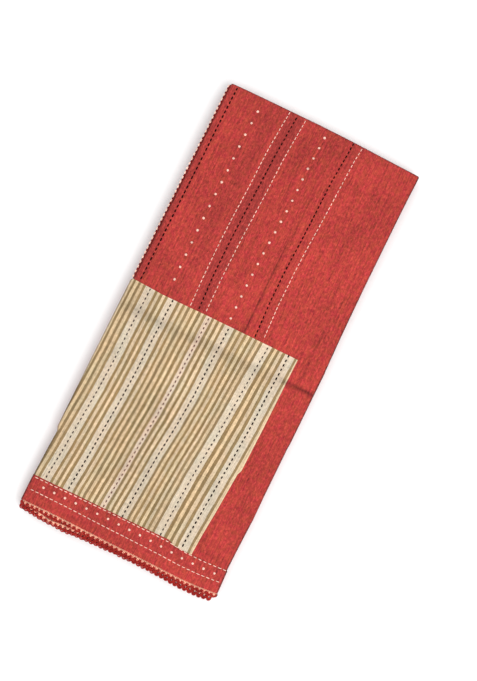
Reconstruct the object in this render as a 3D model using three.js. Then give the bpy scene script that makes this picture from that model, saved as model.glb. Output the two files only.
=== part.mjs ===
// A saree folded into a flat packet: one red handloom cloth, with a striped patch and a border band
// sewn on its front layer and a crocheted picot edging along its ends. Millimetres, +Z up. The packet
// lies on z = 0, with x across it and +y towards its head, where the cloth is folded in half.
import * as THREE from 'three';

// Driving dimensions. u runs across the packet from its left side, v runs down it from its head.
const CENTRE = { u: 128, v: 291 };
const WIDTH = 256;
const HEIGHT = 24; // the packet at its middle
const CLOTH = 1.2; // wall of a layer that shows
const APPLIED = 1.0; // wall of what is sewn on the front layer
const GAP = 0.3; // between pieces that meet
const FOLD = { left: 1.6, right: 2.2, head: 2.2 }; // radius of the front layer's turn at each side
const SKIRT = { end: 1.9, wrapped: 3.2, fold: 3.0 }; // how far the front layer hangs below the turn
const BAND_TOP = { left: 534.4, step: 536.5, right: 540.8, stepAt: [177, 184] };
const PALLU_END = { from: 4, to: 271 }; // the stretch of the left side with the edging on it
const PICOT = { pitch: 6.1, root: 1.3, depth: 5.2, thick: 1.2, side: 2.8 };
const LEAVES = { groove: 1.5, footGroove: 4.0, footReach: 1.0, corner: 0.9 }; // their edges' steps

// The packet's outline: its sides down its length, and its head and feet across it.
const SIDES = [
  { v: 0, left: 0.3, right: 258.4 },
  { v: 60, left: 0.1, right: 257.4 },
  { v: 160, left: 0.2, right: 256.4 },
  { v: 225, left: 0.3, right: 256.6 },
  { v: 272, left: 0.1, right: 257.8 },
  { v: 276, left: -1.5, right: 258.0 },
  { v: 306, left: -1.7, right: 257.2 },
  { v: 371, left: -1.6, right: 256.9 },
  { v: 376, left: -1.6, right: 256.5 },
  { v: 440, left: -1.6, right: 255.8 },
  { v: 472, left: -1.5, right: 255.7 },
  { v: 477, left: 0.7, right: 255.5 },
  { v: 505, left: -0.4, right: 254.8 },
  { v: 532, left: -1.1, right: 254.3 },
  { v: 542, left: -1.3, right: 253.4 },
  { v: 572, left: -1.3, right: 255.4 },
];
const ENDS = [
  { u: 0, head: -0.4, front: 567.4, second: 570.0 },
  { u: 30, head: -0.6, front: 567.0, second: 573.4 },
  { u: 60, head: -0.8, front: 567.6, second: 574.0 },
  { u: 90, head: -0.9, front: 568.9, second: 573.4 },
  { u: 121, head: -0.9, front: 569.8, second: 572.6 },
  { u: 165, head: -0.1, front: 570.8, second: 574.6 },
  { u: 209, head: 1.3, front: 571.6, second: 576.8 },
  { u: 230, head: 1.9, front: 570.7, second: 576.7 },
  { u: 256, head: 2.4, front: 568.9, second: 574.6 },
];
const PATCH_SIDE = [
  { v: 273, right: 221.6 },
  { v: 370, right: 219.8 },
  { v: 425, right: 218.4 },
  { v: 430, right: 216.2 },
  { v: 538, right: 210.0 },
];

// How the packet thins towards each side, its broad swells, and the creases pressed into it.
const THINNING = [
  { side: 'left', drop: 2.2, reach: 13 },
  { side: 'right', drop: 2.6, reach: 15 },
  { side: 'head', drop: 2.8, reach: 16 },
  { side: 'foot', drop: 4.4, reach: 34 },
];
const SWELLS = [
  { u: 70, v: 150, rise: 0.9, across: 70, along: 110 },
  { u: 190, v: 215, rise: 0.7, across: 50, along: 80 },
  { u: 95, v: 420, rise: 0.8, across: 80, along: 90 },
  { u: 225, v: 450, rise: 0.5, across: 40, along: 90 },
];
const CREASES = [
  { runs: 'across', at: 306, from: 216, to: 268, depth: 1.5, width: 3.5 },
  { runs: 'across', at: 307, from: -10, to: 222, depth: 0.8, width: 7 },
  { runs: 'along', at: 148.5, from: 60, to: 400, depth: 0.6, width: 4 },
  { runs: 'across', at: 54, from: 165, to: 268, depth: 0.5, width: 7 },
];

const CREASE_FADE = 14; // the length in which a crease comes up or dies away

// The hidden layers, a row for each leaf that shows at the edges, from the floor up: its share of the
// height, and how far it stands back from the packet's outline at each side.
const LEAF_ROWS = [
  { share: 0.12, left: 1.0, right: 0.9, head: 0.8, foot: 1.6 },
  { share: 0.1, left: 0.2, right: 1.4, head: 0.2, foot: 0.4 },
  { share: 0.14, left: 0.9, right: 0.3, head: 1.1, foot: 2.2 },
  { share: 0.11, left: 1.5, right: 0.8, head: 0.4, foot: 0.9 },
  { share: 0.13, left: 0.4, right: 0.2, head: 0.1, foot: 1.9 },
  { share: 0.1, left: 1.1, right: 1.2, head: 0.9, foot: 0.6 },
  { share: 0.12, left: 0.3, right: 0.5, head: 0.5, foot: 1.5 },
  { share: 0.18, left: 0.8, right: 0.7, head: 0.7, foot: 1.1 },
];

const COLOURS = {
  hidden_layers: 0xb23e3a,
  second_layer: 0xbc423d,
  front_layer: 0xc2443f,
  striped_patch: 0xcdb993,
  border_band: 0xc4483f,
  front_edging: 0xd9825f,
  second_edging: 0xa83a34,
  pallu_edging: 0xd98a68,
};

// Between the rows of a table, a column's value at a place along its key.
function between(table, key, place, column) {
  const after = table.findIndex((row) => row[key] >= place);
  if (after === 0) return table[0][column];
  if (after < 0) return table[table.length - 1][column];
  const low = table[after - 1];
  const high = table[after];
  const share = (place - low[key]) / (high[key] - low[key]);
  return THREE.MathUtils.lerp(low[column], high[column], share);
}

const leftSide = (v) => between(SIDES, 'v', v, 'left');
const rightSide = (v) => between(SIDES, 'v', v, 'right');
const head = (u) => between(ENDS, 'u', u, 'head');
const frontFoot = (u) => between(ENDS, 'u', u, 'front');
const secondFoot = (u) => between(ENDS, 'u', u, 'second');
const bell = (distance, width) => Math.exp(-((distance / width) ** 2));

// The height of the front layer's outer face, before it turns down at a fold.
function frontHeight(u, v) {
  const inside = {
    left: u - leftSide(v),
    right: rightSide(v) - u,
    head: v - head(u),
    foot: frontFoot(u) - v,
  };
  let z = HEIGHT;
  for (const { side, drop, reach } of THINNING) z -= drop * Math.exp(-inside[side] / reach);
  for (const { rise, across, along, ...swell } of SWELLS) {
    z += rise * bell(u - swell.u, across) * bell(v - swell.v, along);
  }
  for (const { runs, at, from, to, depth, width } of CREASES) {
    const [place, off] = runs === 'across' ? [u, v - at] : [v, u - at];
    const starts = THREE.MathUtils.smoothstep(place, from, from + CREASE_FADE);
    const ends = THREE.MathUtils.smoothstep(place, to - CREASE_FADE, to);
    z -= depth * (starts - ends) * bell(off, width);
  }
  return z;
}

// A point on the front layer, or offset from it along its normal. Near the left, the right and the
// head the face turns down round the fold's radius, and the corners between them are round.
function frontPoint(u, v, offset) {
  const onLeft = u < WIDTH / 2;
  const side = onLeft ? FOLD.left : FOLD.right;
  let turnSide = Math.max(0, 1 - (onLeft ? u - leftSide(v) : rightSide(v) - u) / side);
  let turnHead = Math.max(0, 1 - (v - head(u)) / FOLD.head);
  if (turnSide > 0 && turnHead > 0) {
    const round = Math.max(turnSide, turnHead) / Math.hypot(turnSide, turnHead);
    turnSide *= round;
    turnHead *= round;
    u = onLeft ? leftSide(v) + side * (1 - turnSide) : rightSide(v) - side * (1 - turnSide);
    v = head(u) + FOLD.head * (1 - turnHead);
  }
  const upright = Math.sqrt(Math.max(0, 1 - turnSide ** 2 - turnHead ** 2));
  const radius = Math.max(side * Math.sign(turnSide), FOLD.head * Math.sign(turnHead));
  return new THREE.Vector3(
    u - CENTRE.u + offset * turnSide * (onLeft ? -1 : 1),
    CENTRE.v - v + offset * turnHead,
    frontHeight(u, v) - radius * (1 - upright) + offset * upright,
  );
}

// Lines of the grid that every layer is made on. Columns: shares of the patch's width, then of the
// red strip beside it. Turned columns and rows step round the folds.
const TURN_STEPS = [0, 0.36];
const PATCH_SHARES = [0.04, 0.13, 0.27, 0.43, 0.58, 0.65, 0.675, 0.7, 0.8, 0.85, 0.88, 1];
const STRIP_SHARES = [0.4, 0.75];
const patchSide = (v) => between(PATCH_SIDE, 'v', v, 'right');
const turnedLeft = TURN_STEPS.map((step) => (v) => leftSide(v) + step * FOLD.left);
const turnedRight = TURN_STEPS.map((step) => (v) => rightSide(v) - step * FOLD.right).reverse();
const flatColumns = [
  (v) => leftSide(v) + FOLD.left,
  ...PATCH_SHARES.map((share) => (v) => share * patchSide(v)),
  ...STRIP_SHARES.map((share) => (v) => THREE.MathUtils.lerp(patchSide(v), WIDTH, share)),
  (v) => rightSide(v) - FOLD.right,
];
const columns = [...turnedLeft, ...flatColumns, ...turnedRight];
const patchColumns = columns.slice(0, TURN_STEPS.length + 1 + PATCH_SHARES.length);

const patchHead = (u) => THREE.MathUtils.mapLinear(u, 0, WIDTH, 272.4, 275.4);
function bandTop(u) {
  const [from, to] = BAND_TOP.stepAt;
  if (u < from) return THREE.MathUtils.mapLinear(u, 0, from, BAND_TOP.left, BAND_TOP.step);
  return THREE.MathUtils.lerp(BAND_TOP.step, BAND_TOP.right, Math.min(1, (u - from) / (to - from)));
}
const level = (v) => () => v;
const turnedHead = TURN_STEPS.map((step) => (u) => head(u) + step * FOLD.head);
const upperRows = [(u) => head(u) + FOLD.head, ...[8, 28, 54, 90, 140, 190, 235, 262].map(level)];
const PATCH_LEVELS = [290, 299, 306, 313, 326, 370, 425, 430, 472, 477, 508];
const patchRows = [patchHead, ...PATCH_LEVELS.map(level), bandTop];
const bandRows = [(u) => bandTop(u) + GAP, level(553), frontFoot];
const flatRows = [...upperRows, ...patchRows, ...bandRows.slice(1)];
const rows = [...turnedHead, ...flatRows];

// The grid's points on the front layer, offset from it.
function sheet(rowLines, columnLines, offset) {
  return rowLines.map((rowAt) =>
    columnLines.map((columnAt) => {
      const u = columnAt(rowAt(WIDTH / 2));
      const v = rowAt(u);
      return frontPoint(columnAt(v), v, offset);
    }),
  );
}

// The places of a grid's rim, clockwise seen from above: the head, the right, the foot, the left.
function rimPlaces(grid) {
  const lastRow = grid.length - 1;
  const lastColumn = grid[0].length - 1;
  const places = [];
  for (let c = 0; c < lastColumn; c += 1) places.push({ r: 0, c });
  for (let r = 0; r < lastRow; r += 1) places.push({ r, c: lastColumn });
  for (let c = lastColumn; c > 0; c -= 1) places.push({ r: lastRow, c });
  for (let r = lastRow; r > 0; r -= 1) places.push({ r, c: 0 });
  return places.map((place) => ({
    ...place,
    left: place.c === 0,
    right: place.c === lastColumn,
    head: place.r === 0,
    foot: place.r === lastRow,
  }));
}

function piece(name, positions, triangles) {
  const geometry = new THREE.BufferGeometry();
  const coordinates = positions.flatMap((point) => point.toArray());
  geometry.setAttribute('position', new THREE.Float32BufferAttribute(coordinates, 3));
  geometry.setIndex(triangles.flat());
  geometry.computeVertexNormals();
  const material = new THREE.MeshStandardMaterial({ color: COLOURS[name], roughness: 0.85, metalness: 0 });
  const mesh = new THREE.Mesh(geometry, material);
  mesh.name = name;
  return mesh;
}

// A closed body: an upper grid, loops of points down its rim, and a lower grid, or a lower face
// drawn together at one point.
function layeredBody(name, upper, loops, lower) {
  const positions = [];
  const triangles = [];
  const add = (point) => positions.push(point) - 1;
  const quad = (a, b, c, d) => triangles.push([a, b, c], [a, c, d]);
  const face = (grid, facesUp) => {
    const indices = grid.map((row) => row.map(add));
    for (let r = 1; r < grid.length; r += 1) {
      for (let c = 1; c < grid[r].length; c += 1) {
        const [back, near] = [indices[r - 1], indices[r]];
        if (facesUp) quad(back[c - 1], near[c - 1], near[c], back[c]);
        else quad(back[c - 1], back[c], near[c], near[c - 1]);
      }
    }
    return indices;
  };
  const places = rimPlaces(upper);
  const rim = (indices) => places.map(({ r, c }) => indices[r][c]);
  const rings = [rim(face(upper, true)), ...loops.map((loop) => loop.map(add))];
  const closesOnPoint = lower instanceof THREE.Vector3;
  if (!closesOnPoint) rings.push(rim(face(lower, false)));
  const lowest = rings[rings.length - 1];
  const middle = closesOnPoint ? add(lower) : null;
  places.forEach((_, k) => {
    const next = (k + 1) % places.length;
    for (let ring = 1; ring < rings.length; ring += 1) {
      quad(rings[ring - 1][k], rings[ring - 1][next], rings[ring][next], rings[ring][k]);
    }
    if (closesOnPoint) triangles.push([lowest[k], lowest[next], middle]);
  });
  return piece(name, positions, triangles);
}

// A cloth wall between two offsets from the front layer. hang gives how far each place of its rim
// hangs below the turn, or 0 where the cloth just ends.
function cloth(name, rowLines, columnLines, outside, wall, hang) {
  const outer = sheet(rowLines, columnLines, outside);
  const inner = sheet(rowLines, columnLines, outside - wall);
  const loops = [0.3, 0.7].map((share) =>
    rimPlaces(outer).map((place) => {
      const out = outer[place.r][place.c];
      const into = inner[place.r][place.c];
      const drop = hang(place, CENTRE.v - out.y);
      if (drop === 0) return out.clone().lerp(into, share);
      const point = (share < 0.5 ? out : into).clone();
      point.z = out.z - drop;
      return point;
    }),
  );
  return layeredBody(name, outer, loops, inner);
}

// The front layer turns down at the head, the right and the left, and just ends at the foot.
function hangAt(place, v) {
  if (place.left) return v < PALLU_END.to ? SKIRT.end : SKIRT.wrapped;
  if (place.right || place.head) return SKIRT.fold;
  return 0;
}

function frontLayer() {
  return cloth('front_layer', rows, columns, 0, CLOTH, hangAt);
}

function secondLayer() {
  const lines = [...flatRows, secondFoot];
  return cloth('second_layer', lines, flatColumns, -CLOTH - GAP, CLOTH, () => 0);
}

function stripedPatch() {
  const lines = [...patchRows.slice(0, -1), (u) => bandTop(u) - GAP];
  const wrap = (place, v) => (place.left ? hangAt(place, v) : 0);
  return cloth('striped_patch', lines, patchColumns, GAP + APPLIED, APPLIED, wrap);
}

function borderBand() {
  const wrap = (place, v) => (place.left || place.right ? hangAt(place, v) : 0);
  return cloth('border_band', bandRows, columns, GAP + APPLIED, APPLIED, wrap);
}

// The hidden layers: one body under the second layer, its sides stepped in and out leaf by leaf down
// to a flat underside.
function hiddenLayers() {
  const top = sheet([...flatRows.slice(0, -1), (u) => frontFoot(u) - 1], flatColumns, -2 * (CLOTH + GAP));
  const places = rimPlaces(top);
  const loop = (share, standBack, groove) =>
    places.map((place) => {
      const start = top[place.r][place.c];
      const corner = (place.left || place.right) && (place.head || place.foot) ? LEAVES.corner : 0;
      const u = start.x + CENTRE.u;
      const v = CENTRE.v - start.y;
      const inset = (side) => standBack[side] + corner + (groove ? LEAVES.groove : 0);
      const footInset = standBack.foot + corner + (groove ? LEAVES.footGroove : 0);
      const leafFoot = secondFoot(u) + LEAVES.footReach;
      const turn = place.left ? FOLD.left : FOLD.right;
      const hang = place.foot ? CLOTH : turn + hangAt(place, v) + GAP - 2 * (CLOTH + GAP);
      const shoulder = start.z - hang;
      const point = new THREE.Vector3(start.x, start.y, shoulder * share);
      if (place.left) point.x = leftSide(v) + inset('left') - CENTRE.u;
      if (place.right) point.x = rightSide(v) - inset('right') - CENTRE.u;
      if (place.head) point.y = CENTRE.v - head(u) - inset('head');
      if (place.foot) point.y = CENTRE.v - leafFoot + footInset;
      return point;
    });
  const loops = [];
  let share = 1;
  for (const leaf of [...LEAF_ROWS].reverse()) {
    loops.push(loop(share, leaf, true), loop(share - leaf.share / 2, leaf, false));
    share -= leaf.share;
  }
  loops.push(loop(0, LEAF_ROWS[0], true));
  return layeredBody('hidden_layers', top, loops, new THREE.Vector3(0, 0, 0));
}

// A picot edging along a line of points on a cloth's end: a narrow root with round loops on it.
function picotEdging(name, line, outward, depth) {
  const path = new THREE.CurvePath();
  for (let k = 1; k < line.length; k += 1) path.add(new THREE.LineCurve3(line[k - 1], line[k]));
  const count = Math.round(path.getLength() / PICOT.pitch);
  const steps = [0, 0.17, 0.5, 0.83]; // places along one loop
  const stations = [];
  for (let k = 0; k < count; k += 1) steps.forEach((step) => stations.push({ at: (k + step) / count, step }));
  stations.push({ at: 1, step: 0 });
  const half = new THREE.Vector3(0, 0, PICOT.thick / 2);
  const positions = [];
  stations.forEach(({ at, step }) => {
    const root = path.getPointAt(at).addScaledVector(outward, GAP);
    const loop = Math.sqrt(1 - (1 - 2 * step) ** 2);
    const reach = THREE.MathUtils.lerp(PICOT.root, depth, loop) - GAP;
    const tip = root.clone().addScaledVector(outward, reach);
    positions.push(root.clone().add(half), tip.clone().add(half));
    positions.push(tip.clone().sub(half), root.clone().sub(half));
  });
  const triangles = [];
  const quad = (a, b, c, d) => triangles.push([a, b, c], [a, c, d]);
  for (let k = 4; k < positions.length; k += 4) {
    for (let side = 0; side < 4; side += 1) {
      const next = (side + 1) % 4;
      quad(k - 4 + side, k - 4 + next, k + next, k + side);
    }
  }
  quad(3, 2, 1, 0);
  const end = positions.length - 4;
  quad(end, end + 1, end + 2, end + 3);
  return piece(name, positions, triangles);
}

// The middle of a cloth's wall along its foot, from side to side.
function footLine(rowLine, columnLines, outside) {
  const [line] = sheet([rowLine], columnLines, outside - CLOTH / 2);
  return line;
}

function edgings() {
  const footwards = new THREE.Vector3(0, -0.995, -0.1);
  const leftwards = new THREE.Vector3(-1, 0, 0);
  const sideRows = rows.filter((rowAt) => rowAt(0) > PALLU_END.from && rowAt(0) < PALLU_END.to);
  const side = sheet([...sideRows, level(PALLU_END.to)], columns.slice(0, 1), 0).flat();
  return [
    picotEdging('front_edging', footLine(frontFoot, flatColumns, 0), footwards, PICOT.depth),
    picotEdging('second_edging', footLine(secondFoot, flatColumns, -CLOTH - GAP), footwards, PICOT.depth),
    picotEdging('pallu_edging', side, leftwards, PICOT.side),
  ];
}

const saree = new THREE.Group();
saree.add(hiddenLayers(), secondLayer(), frontLayer(), stripedPatch(), borderBand(), ...edgings());

export default saree;
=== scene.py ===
"""A handloom saree folded flat into a packet, with running stitch, knots and a crocheted edging.

The cloths' sizes are in millimetres until metres() places them. Materials, trees, the stage and
what a user can change are in metres. u runs across the packet from its left side, and v runs down
it from its head, where the cloth is folded in half. z is up from the floor.
"""

import math

import bpy
import numpy as np
from bpy.props import FloatProperty, FloatVectorProperty, IntProperty, PointerProperty
from bpy.types import Operator, Panel, PropertyGroup
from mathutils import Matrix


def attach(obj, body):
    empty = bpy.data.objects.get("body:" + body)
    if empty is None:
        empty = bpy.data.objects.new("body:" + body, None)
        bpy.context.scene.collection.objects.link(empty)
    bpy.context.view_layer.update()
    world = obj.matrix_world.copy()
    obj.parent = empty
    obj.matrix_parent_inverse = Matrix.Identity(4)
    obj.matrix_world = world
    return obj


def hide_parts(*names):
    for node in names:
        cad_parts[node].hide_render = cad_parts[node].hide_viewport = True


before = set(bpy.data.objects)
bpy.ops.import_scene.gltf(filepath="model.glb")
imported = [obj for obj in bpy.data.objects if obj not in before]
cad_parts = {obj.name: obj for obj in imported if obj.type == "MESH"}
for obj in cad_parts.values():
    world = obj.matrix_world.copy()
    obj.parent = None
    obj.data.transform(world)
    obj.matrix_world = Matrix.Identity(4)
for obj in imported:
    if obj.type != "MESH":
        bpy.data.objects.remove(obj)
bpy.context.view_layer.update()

bl_info = {
    "name": "Folded saree",
    "version": (1, 0, 0),
    "blender": (4, 5, 0),
    "location": "3D View > Sidebar > Saree",
    "description": "Builds a folded handloom saree with its stitching and crocheted edging",
    "category": "Object",
}

# ---------------------------------------------------------------- The packet's sizes

CENTRE_U, CENTRE_V = 128.0, 291.0  # the origin's place
WIDTH, HEIGHT = 256.0, 24.0
TURN = {"left": 1.6, "right": 2.2, "head": 2.2}  # radius of the front layer's turn at each side
HANG = 1.3  # how far the front layer hangs below its turn
CLOTH = 0.5  # one thickness of the red cloth
SEWN_EDGE, SEWN_UNDER = 0.12, 0.06  # heights of a sewn-on cloth's edge and of its underside
TURN_IN, TURN_IN_RISE = (4.5, 5.3), 0.3  # the patch is thicker where its edges are turned under
SECOND_INSET, SECOND_DEPTH = (2.2, 2.8), 1.5  # the second layer, inside the front one's turns and under it
PATCH_FACE, BAND_FACE = 0.62, 0.95  # heights of the patch and the band above the front layer
PITCH = {"field": 6.07, "patch": 6.05, "band": 6.3}  # from one stitch to the next
FURROW = {"field": 0.34, "patch": 0.36, "band": 0.3}  # how deep a row of stitches pulls the cloth in
FURROW_WIDTH = 1.3
RIDGE_PLACE, RIDGE_WIDTH = 3.2, 2.2  # the puckers beside a furrow
SUNK = 0.45  # how much lower the front layer lies under the patch and the band
PALLU_END = (4.0, 271.0)  # the stretch of the left side with the edging on it


def line(keys, places):
    """A line through the places at some keys: a function that gives its place at any key."""
    return lambda at: np.interp(at, keys, places)


SIDE_V = (0, 30, 60, 160, 225, 272, 276, 306, 371, 376, 440, 472, 477, 505, 532, 542, 572)
left_side = line(SIDE_V, (
    -0.8, -0.6, -0.6, -0.6, -0.5, -0.6, -2.9, -3.0, -2.9, -3.0, -2.8, -2.7, -0.6, -1.7, -2.4, -2.7, -2.9,
))
right_side = line(SIDE_V, (
    260.0, 258.9, 258.2, 257.1, 257.3, 258.2, 258.5, 258.1, 257.4, 256.9, 256.3, 256.5, 256.2, 255.2,
    254.5, 254.4, 255.4,
))
END_U = (0, 30, 60, 90, 121, 165, 209, 230, 256)
head = line(END_U, (-1.1, -1.0, -1.1, -1.2, -1.3, -0.5, 1.0, 1.6, 2.0))
front_foot = line(END_U, (568.9, 568.4, 568.8, 569.4, 569.9, 570.4, 571.2, 570.4, 568.4))
second_foot = line(END_U, (573.6, 576.1, 577.0, 574.9, 574.0, 574.3, 576.6, 576.5, 574.6))
patch_side = line((273, 370, 425, 430, 480, 515, 538), (221.7, 219.9, 218.3, 215.9, 212.3, 209.2, 208.0))
patch_head = line((0, 25, 40, 70, 100, 212), (273.0, 274.3, 275.1, 274.8, 274.4, 274.7))

# How the packet thins towards each side, and its broad swells: u, v, rise, reach across and down.
THINNING = (("left", 2.2, 13), ("right", 2.6, 15), ("head", 2.8, 16), ("foot", 4.4, 34))
SWELLS = (
    (70, 150, 0.9, 70, 110),
    (190, 215, 0.7, 50, 80),
    (95, 420, 0.8, 80, 90),
    (225, 450, 0.5, 40, 90),
)
# The cloth's slackness: the height of each kind of wave, its size across and down, and its seed.
SLACK = ((0.2, 31, 62, 3), (0.09, 11, 34, 5), (0.05, 6, 9, 8))

# Creases and soft folds: which way each runs, where, from and to, its depth (a ridge is below 0),
# its width, how far it slants over its length, how far it wanders, and its painted shade and soil (below 0,
# painted light on a ridge).
CREASES = (
    ("across", 306.0, 208, 268, 1.3, 3.4, 0.0, 0.0, 0.3),
    ("across", 307.0, -10, 222, 0.8, 6.0, 0.0, 0.5, 0.15),
    ("along", 148.5, 60, 400, 0.6, 4.0, 0.0, 0.6, 0.06),
    ("across", 54.0, 165, 268, 0.5, 7.0, 0.0, 0.0, 0.09),
    ("across", 305.3, 210, 266, 0.5, 1.7, -1.6, 0.7, 0.3),
    ("across", 311.5, 214, 262, -0.4, 3.2, -1.0, 0.4, 0.0),
    ("across", 298.5, 60, 262, -0.3, 4.0, 1.0, 0.8, -0.04),
    ("across", 316.0, 8, 150, -0.2, 4.5, -1.5, 0.8, -0.03),
    ("along", 213.0, 66, 128, 0.2, 0.9, 0.6, 0.5, 0.2),
    ("along", 240.5, 40, 122, 0.25, 0.9, -0.6, 0.5, 0.26),
    ("along", 227.0, 150, 262, 0.12, 1.2, 1.2, 0.8, 0.1),
    ("along", 248.0, 60, 250, 0.12, 1.2, -1.0, 0.8, 0.12),
    ("along", 249.0, 330, 520, 0.16, 1.6, -1.6, 0.8, 0.1),
    ("along", 118.0, 20, 130, 0.14, 3.0, 2.0, 1.0, 0.05),
    ("along", 151.0, 8, 150, 0.2, 1.2, -1.5, 0.5, 0.24),
    ("along", 148.2, 136, 284, 0.25, 1.0, 0.4, 0.3, 0.5),
    ("along", 236.0, 190, 302, 0.16, 1.0, -1.0, 0.5, 0.26),
    ("along", 60.0, 90, 255, 0.16, 4.0, -2.0, 1.2, 0.05),
    ("across", 112.0, 16, 120, 0.18, 4.0, 3.0, 1.2, 0.05),
    ("across", 168.0, 110, 240, 0.16, 5.0, -3.0, 1.2, 0.05),
    ("across", 226.0, 30, 170, 0.18, 5.0, 4.0, 1.5, 0.05),
    ("across", 84.0, 190, 252, -0.16, 4.0, 2.0, 1.0, -0.04),
    ("across", 24.0, 16, 150, 0.14, 5.0, 3.0, 1.0, 0.06),
    ("along", 75.0, 300, 380, 0.16, 3.0, 3.0, 0.8, 0.06),
    ("along", 164.0, 330, 470, 0.18, 3.5, -5.0, 0.8, 0.05),
    ("across", 345.0, 222, 256, 0.3, 6.0, 2.0, 0.5, 0.1),
    ("across", 402.0, 6, 96, 0.14, 6.0, 4.0, 1.5, 0.03),
    ("across", 455.0, 60, 200, 0.16, 6.0, -5.0, 1.5, 0.03),
    ("across", 482.0, 212, 256, 0.25, 6.0, 3.0, 0.8, 0.08),
    ("across", 500.0, 8, 120, 0.12, 6.0, 3.0, 1.5, 0.03),
    ("along", 144.0, 540, 572, 0.5, 1.4, 1.0, 0.3, 0.25),
    ("along", 196.0, 544, 574, 0.2, 2.0, -1.0, 0.3, 0.08),
    ("along", 62.0, 545, 572, 0.18, 2.0, 1.0, 0.3, 0.08),
)
CREASE_FADE = 14.0  # the length in which a crease comes up or dies away
WANDER_CELL, UNEVEN_CELL, UNEVEN = 17, 23, 0.3  # how a crease wanders, and grows and weakens, on its way
FIELD_END, PATCH_START = (266, 273), (274, 279)  # the seams die away here, and the patch's come up
FINE_CREASES = (151.0, 154.6, 213.0, 227.0, 240.5, 248.5)  # the front layer has closer columns here
# Broad places painted darker, or lighter below 0, as painted shade and light: u, v, reach across and down,
# and how much.
BROAD_SHADING = (
    (118, 12, 150, 34, 0.055),
    (60, 60, 26, 60, 0.06),
    (100, 75, 34, 60, 0.04),
    (196, 130, 18, 90, -0.07),
    (150, 160, 30, 70, -0.04),
    (8, 120, 12, 60, -0.04),
    (250, 230, 14, 40, -0.04),
    (240, 350, 30, 40, 0.08),
    (240, 495, 30, 38, 0.07),
    (120, 312, 110, 12, 0.06),
    (60, 480, 70, 36, 0.05),
    (110, 356, 90, 24, -0.07),
    (190, 356, 24, 34, -0.05),
    (238, 326, 14, 12, 0.09),
    (235, 531, 26, 7, 0.09),
    (193, 190, 9, 30, -0.06),
    (14, 221, 12, 14, -0.07),
)


def rows(keys, **places):
    """Lines by name, one for each row of stitches or knots."""
    return {name: line(keys, place) for name, place in places.items()}


# The rows of stitches and of knots down the red cloth.
FIELD_V = (0, 21, 60, 106, 150, 180, 225, 270)
FIELD = rows(
    FIELD_V,
    hem=(8.6, 8.4, 8.1, 8.3, 8.1, 8.0, 8.0, 7.5),
    cream_left=(80.5, 78.9, 76.5, 75.9, 74.4, 73.8, 74.2, 75.8),
    black_left=(91.0, 89.8, 87.7, 86.4, 85.1, 84.5, 84.6, 86.8),
    cream_middle=(102.6, 101.2, 98.8, 98.0, 96.5, 95.6, 95.2, 96.1),
    black_right=(168.4, 167.0, 164.2, 163.4, 162.1, 160.9, 160.8, 162.7),
    cream_right=(180.9, 178.5, 177.0, 175.2, 172.8, 171.9, 171.6, 173.3),
)
KNOTS = rows(
    FIELD_V,
    left=(45.1, 44.3, 43.1, 43.5, 43.0, 43.0, 43.6, 45.0),
    right=(133.4, 132.4, 130.8, 130.9, 128.8, 127.4, 126.3, 126.6),
)
# The rows of stitches down the striped patch.
PATCH_V = (274, 330, 370, 410, 450, 490, 530)
PATCH = rows(
    PATCH_V,
    dusky=(23.5, 22.5, 22.4, 21.1, 18.5, 15.8, 12.4),
    black_1=(54.1, 52.8, 52.4, 50.9, 48.3, 45.8, 42.3),
    rose=(102.8, 101.1, 100.1, 98.1, 94.7, 92.1, 88.9),
    black_2=(129.9, 128.2, 127.5, 124.6, 120.3, 117.4, 114.3),
    grey=(182.8, 178.5, 175.8, 172.6, 168.8, 166.2, 164.4),
    black_3=(209.4, 206.9, 205.6, 203.0, 199.9, 196.8, 194.0),
)
# The border band's upper edge and the rows across it.
BAND_U = (0, 50, 100, 120, 157, 177, 184, 200, 225, 256)
band_top = line(BAND_U, (535.5, 535.4, 535.3, 535.4, 535.1, 534.8, 539.0, 539.3, 539.3, 538.6))
BAND = rows(
    BAND_U,
    upper=(538.0, 537.5, 537.1, 537.3, 537.2, 537.7, 538.4, 540.3, 540.3, 538.5),
    knots=(544.9, 544.7, 544.5, 544.9, 545.6, 546.5, 547.0, 548.0, 548.0, 546.8),
    lower=(553.1, 553.3, 554.6, 554.8, 555.4, 555.9, 556.2, 556.9, 556.5, 554.0),
)

# The striped cloth in loom order: how many dark stripes stand together, then the pale band beside them.
STRIPE_GROUPS = (3, "wide", 3, "wide", 6, "medium", 3, "wide", 6, "wide", 3, "wide", 1)
STRIPE_WIDTHS = {"dark": 3.45, "light": 3.6, "wide": 12.4, "medium": 7.25}


def bell(distance, width):
    return np.exp(-((distance / width) ** 2))


def ease(value, low, high):
    """0 below low, 1 above high, and smooth between them."""
    share = np.clip((np.asarray(value, float) - low) / (high - low), 0, 1)
    return share * share * (3 - 2 * share)


def soft_noise(u, v, cell_u, cell_v, seed):
    """Smooth random heights from -1 to 1, one for each cell of a lattice."""
    table = np.random.default_rng(seed).uniform(-1, 1, (64, 64))
    across, down = np.asarray(u, float) / cell_u + 9, np.asarray(v, float) / cell_v + 9
    column, row = np.floor(across).astype(int), np.floor(down).astype(int)
    share_u, share_v = ease(across - column, 0, 1), ease(down - row, 0, 1)
    corner = [table[(column + i) % 64, (row + j) % 64] for j in (0, 1) for i in (0, 1)]
    upper = corner[0] * (1 - share_u) + corner[1] * share_u
    lower = corner[2] * (1 - share_u) + corner[3] * share_u
    return upper * (1 - share_v) + lower * share_v


# ---------------------------------------------------------------- The cloth's relief


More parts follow.
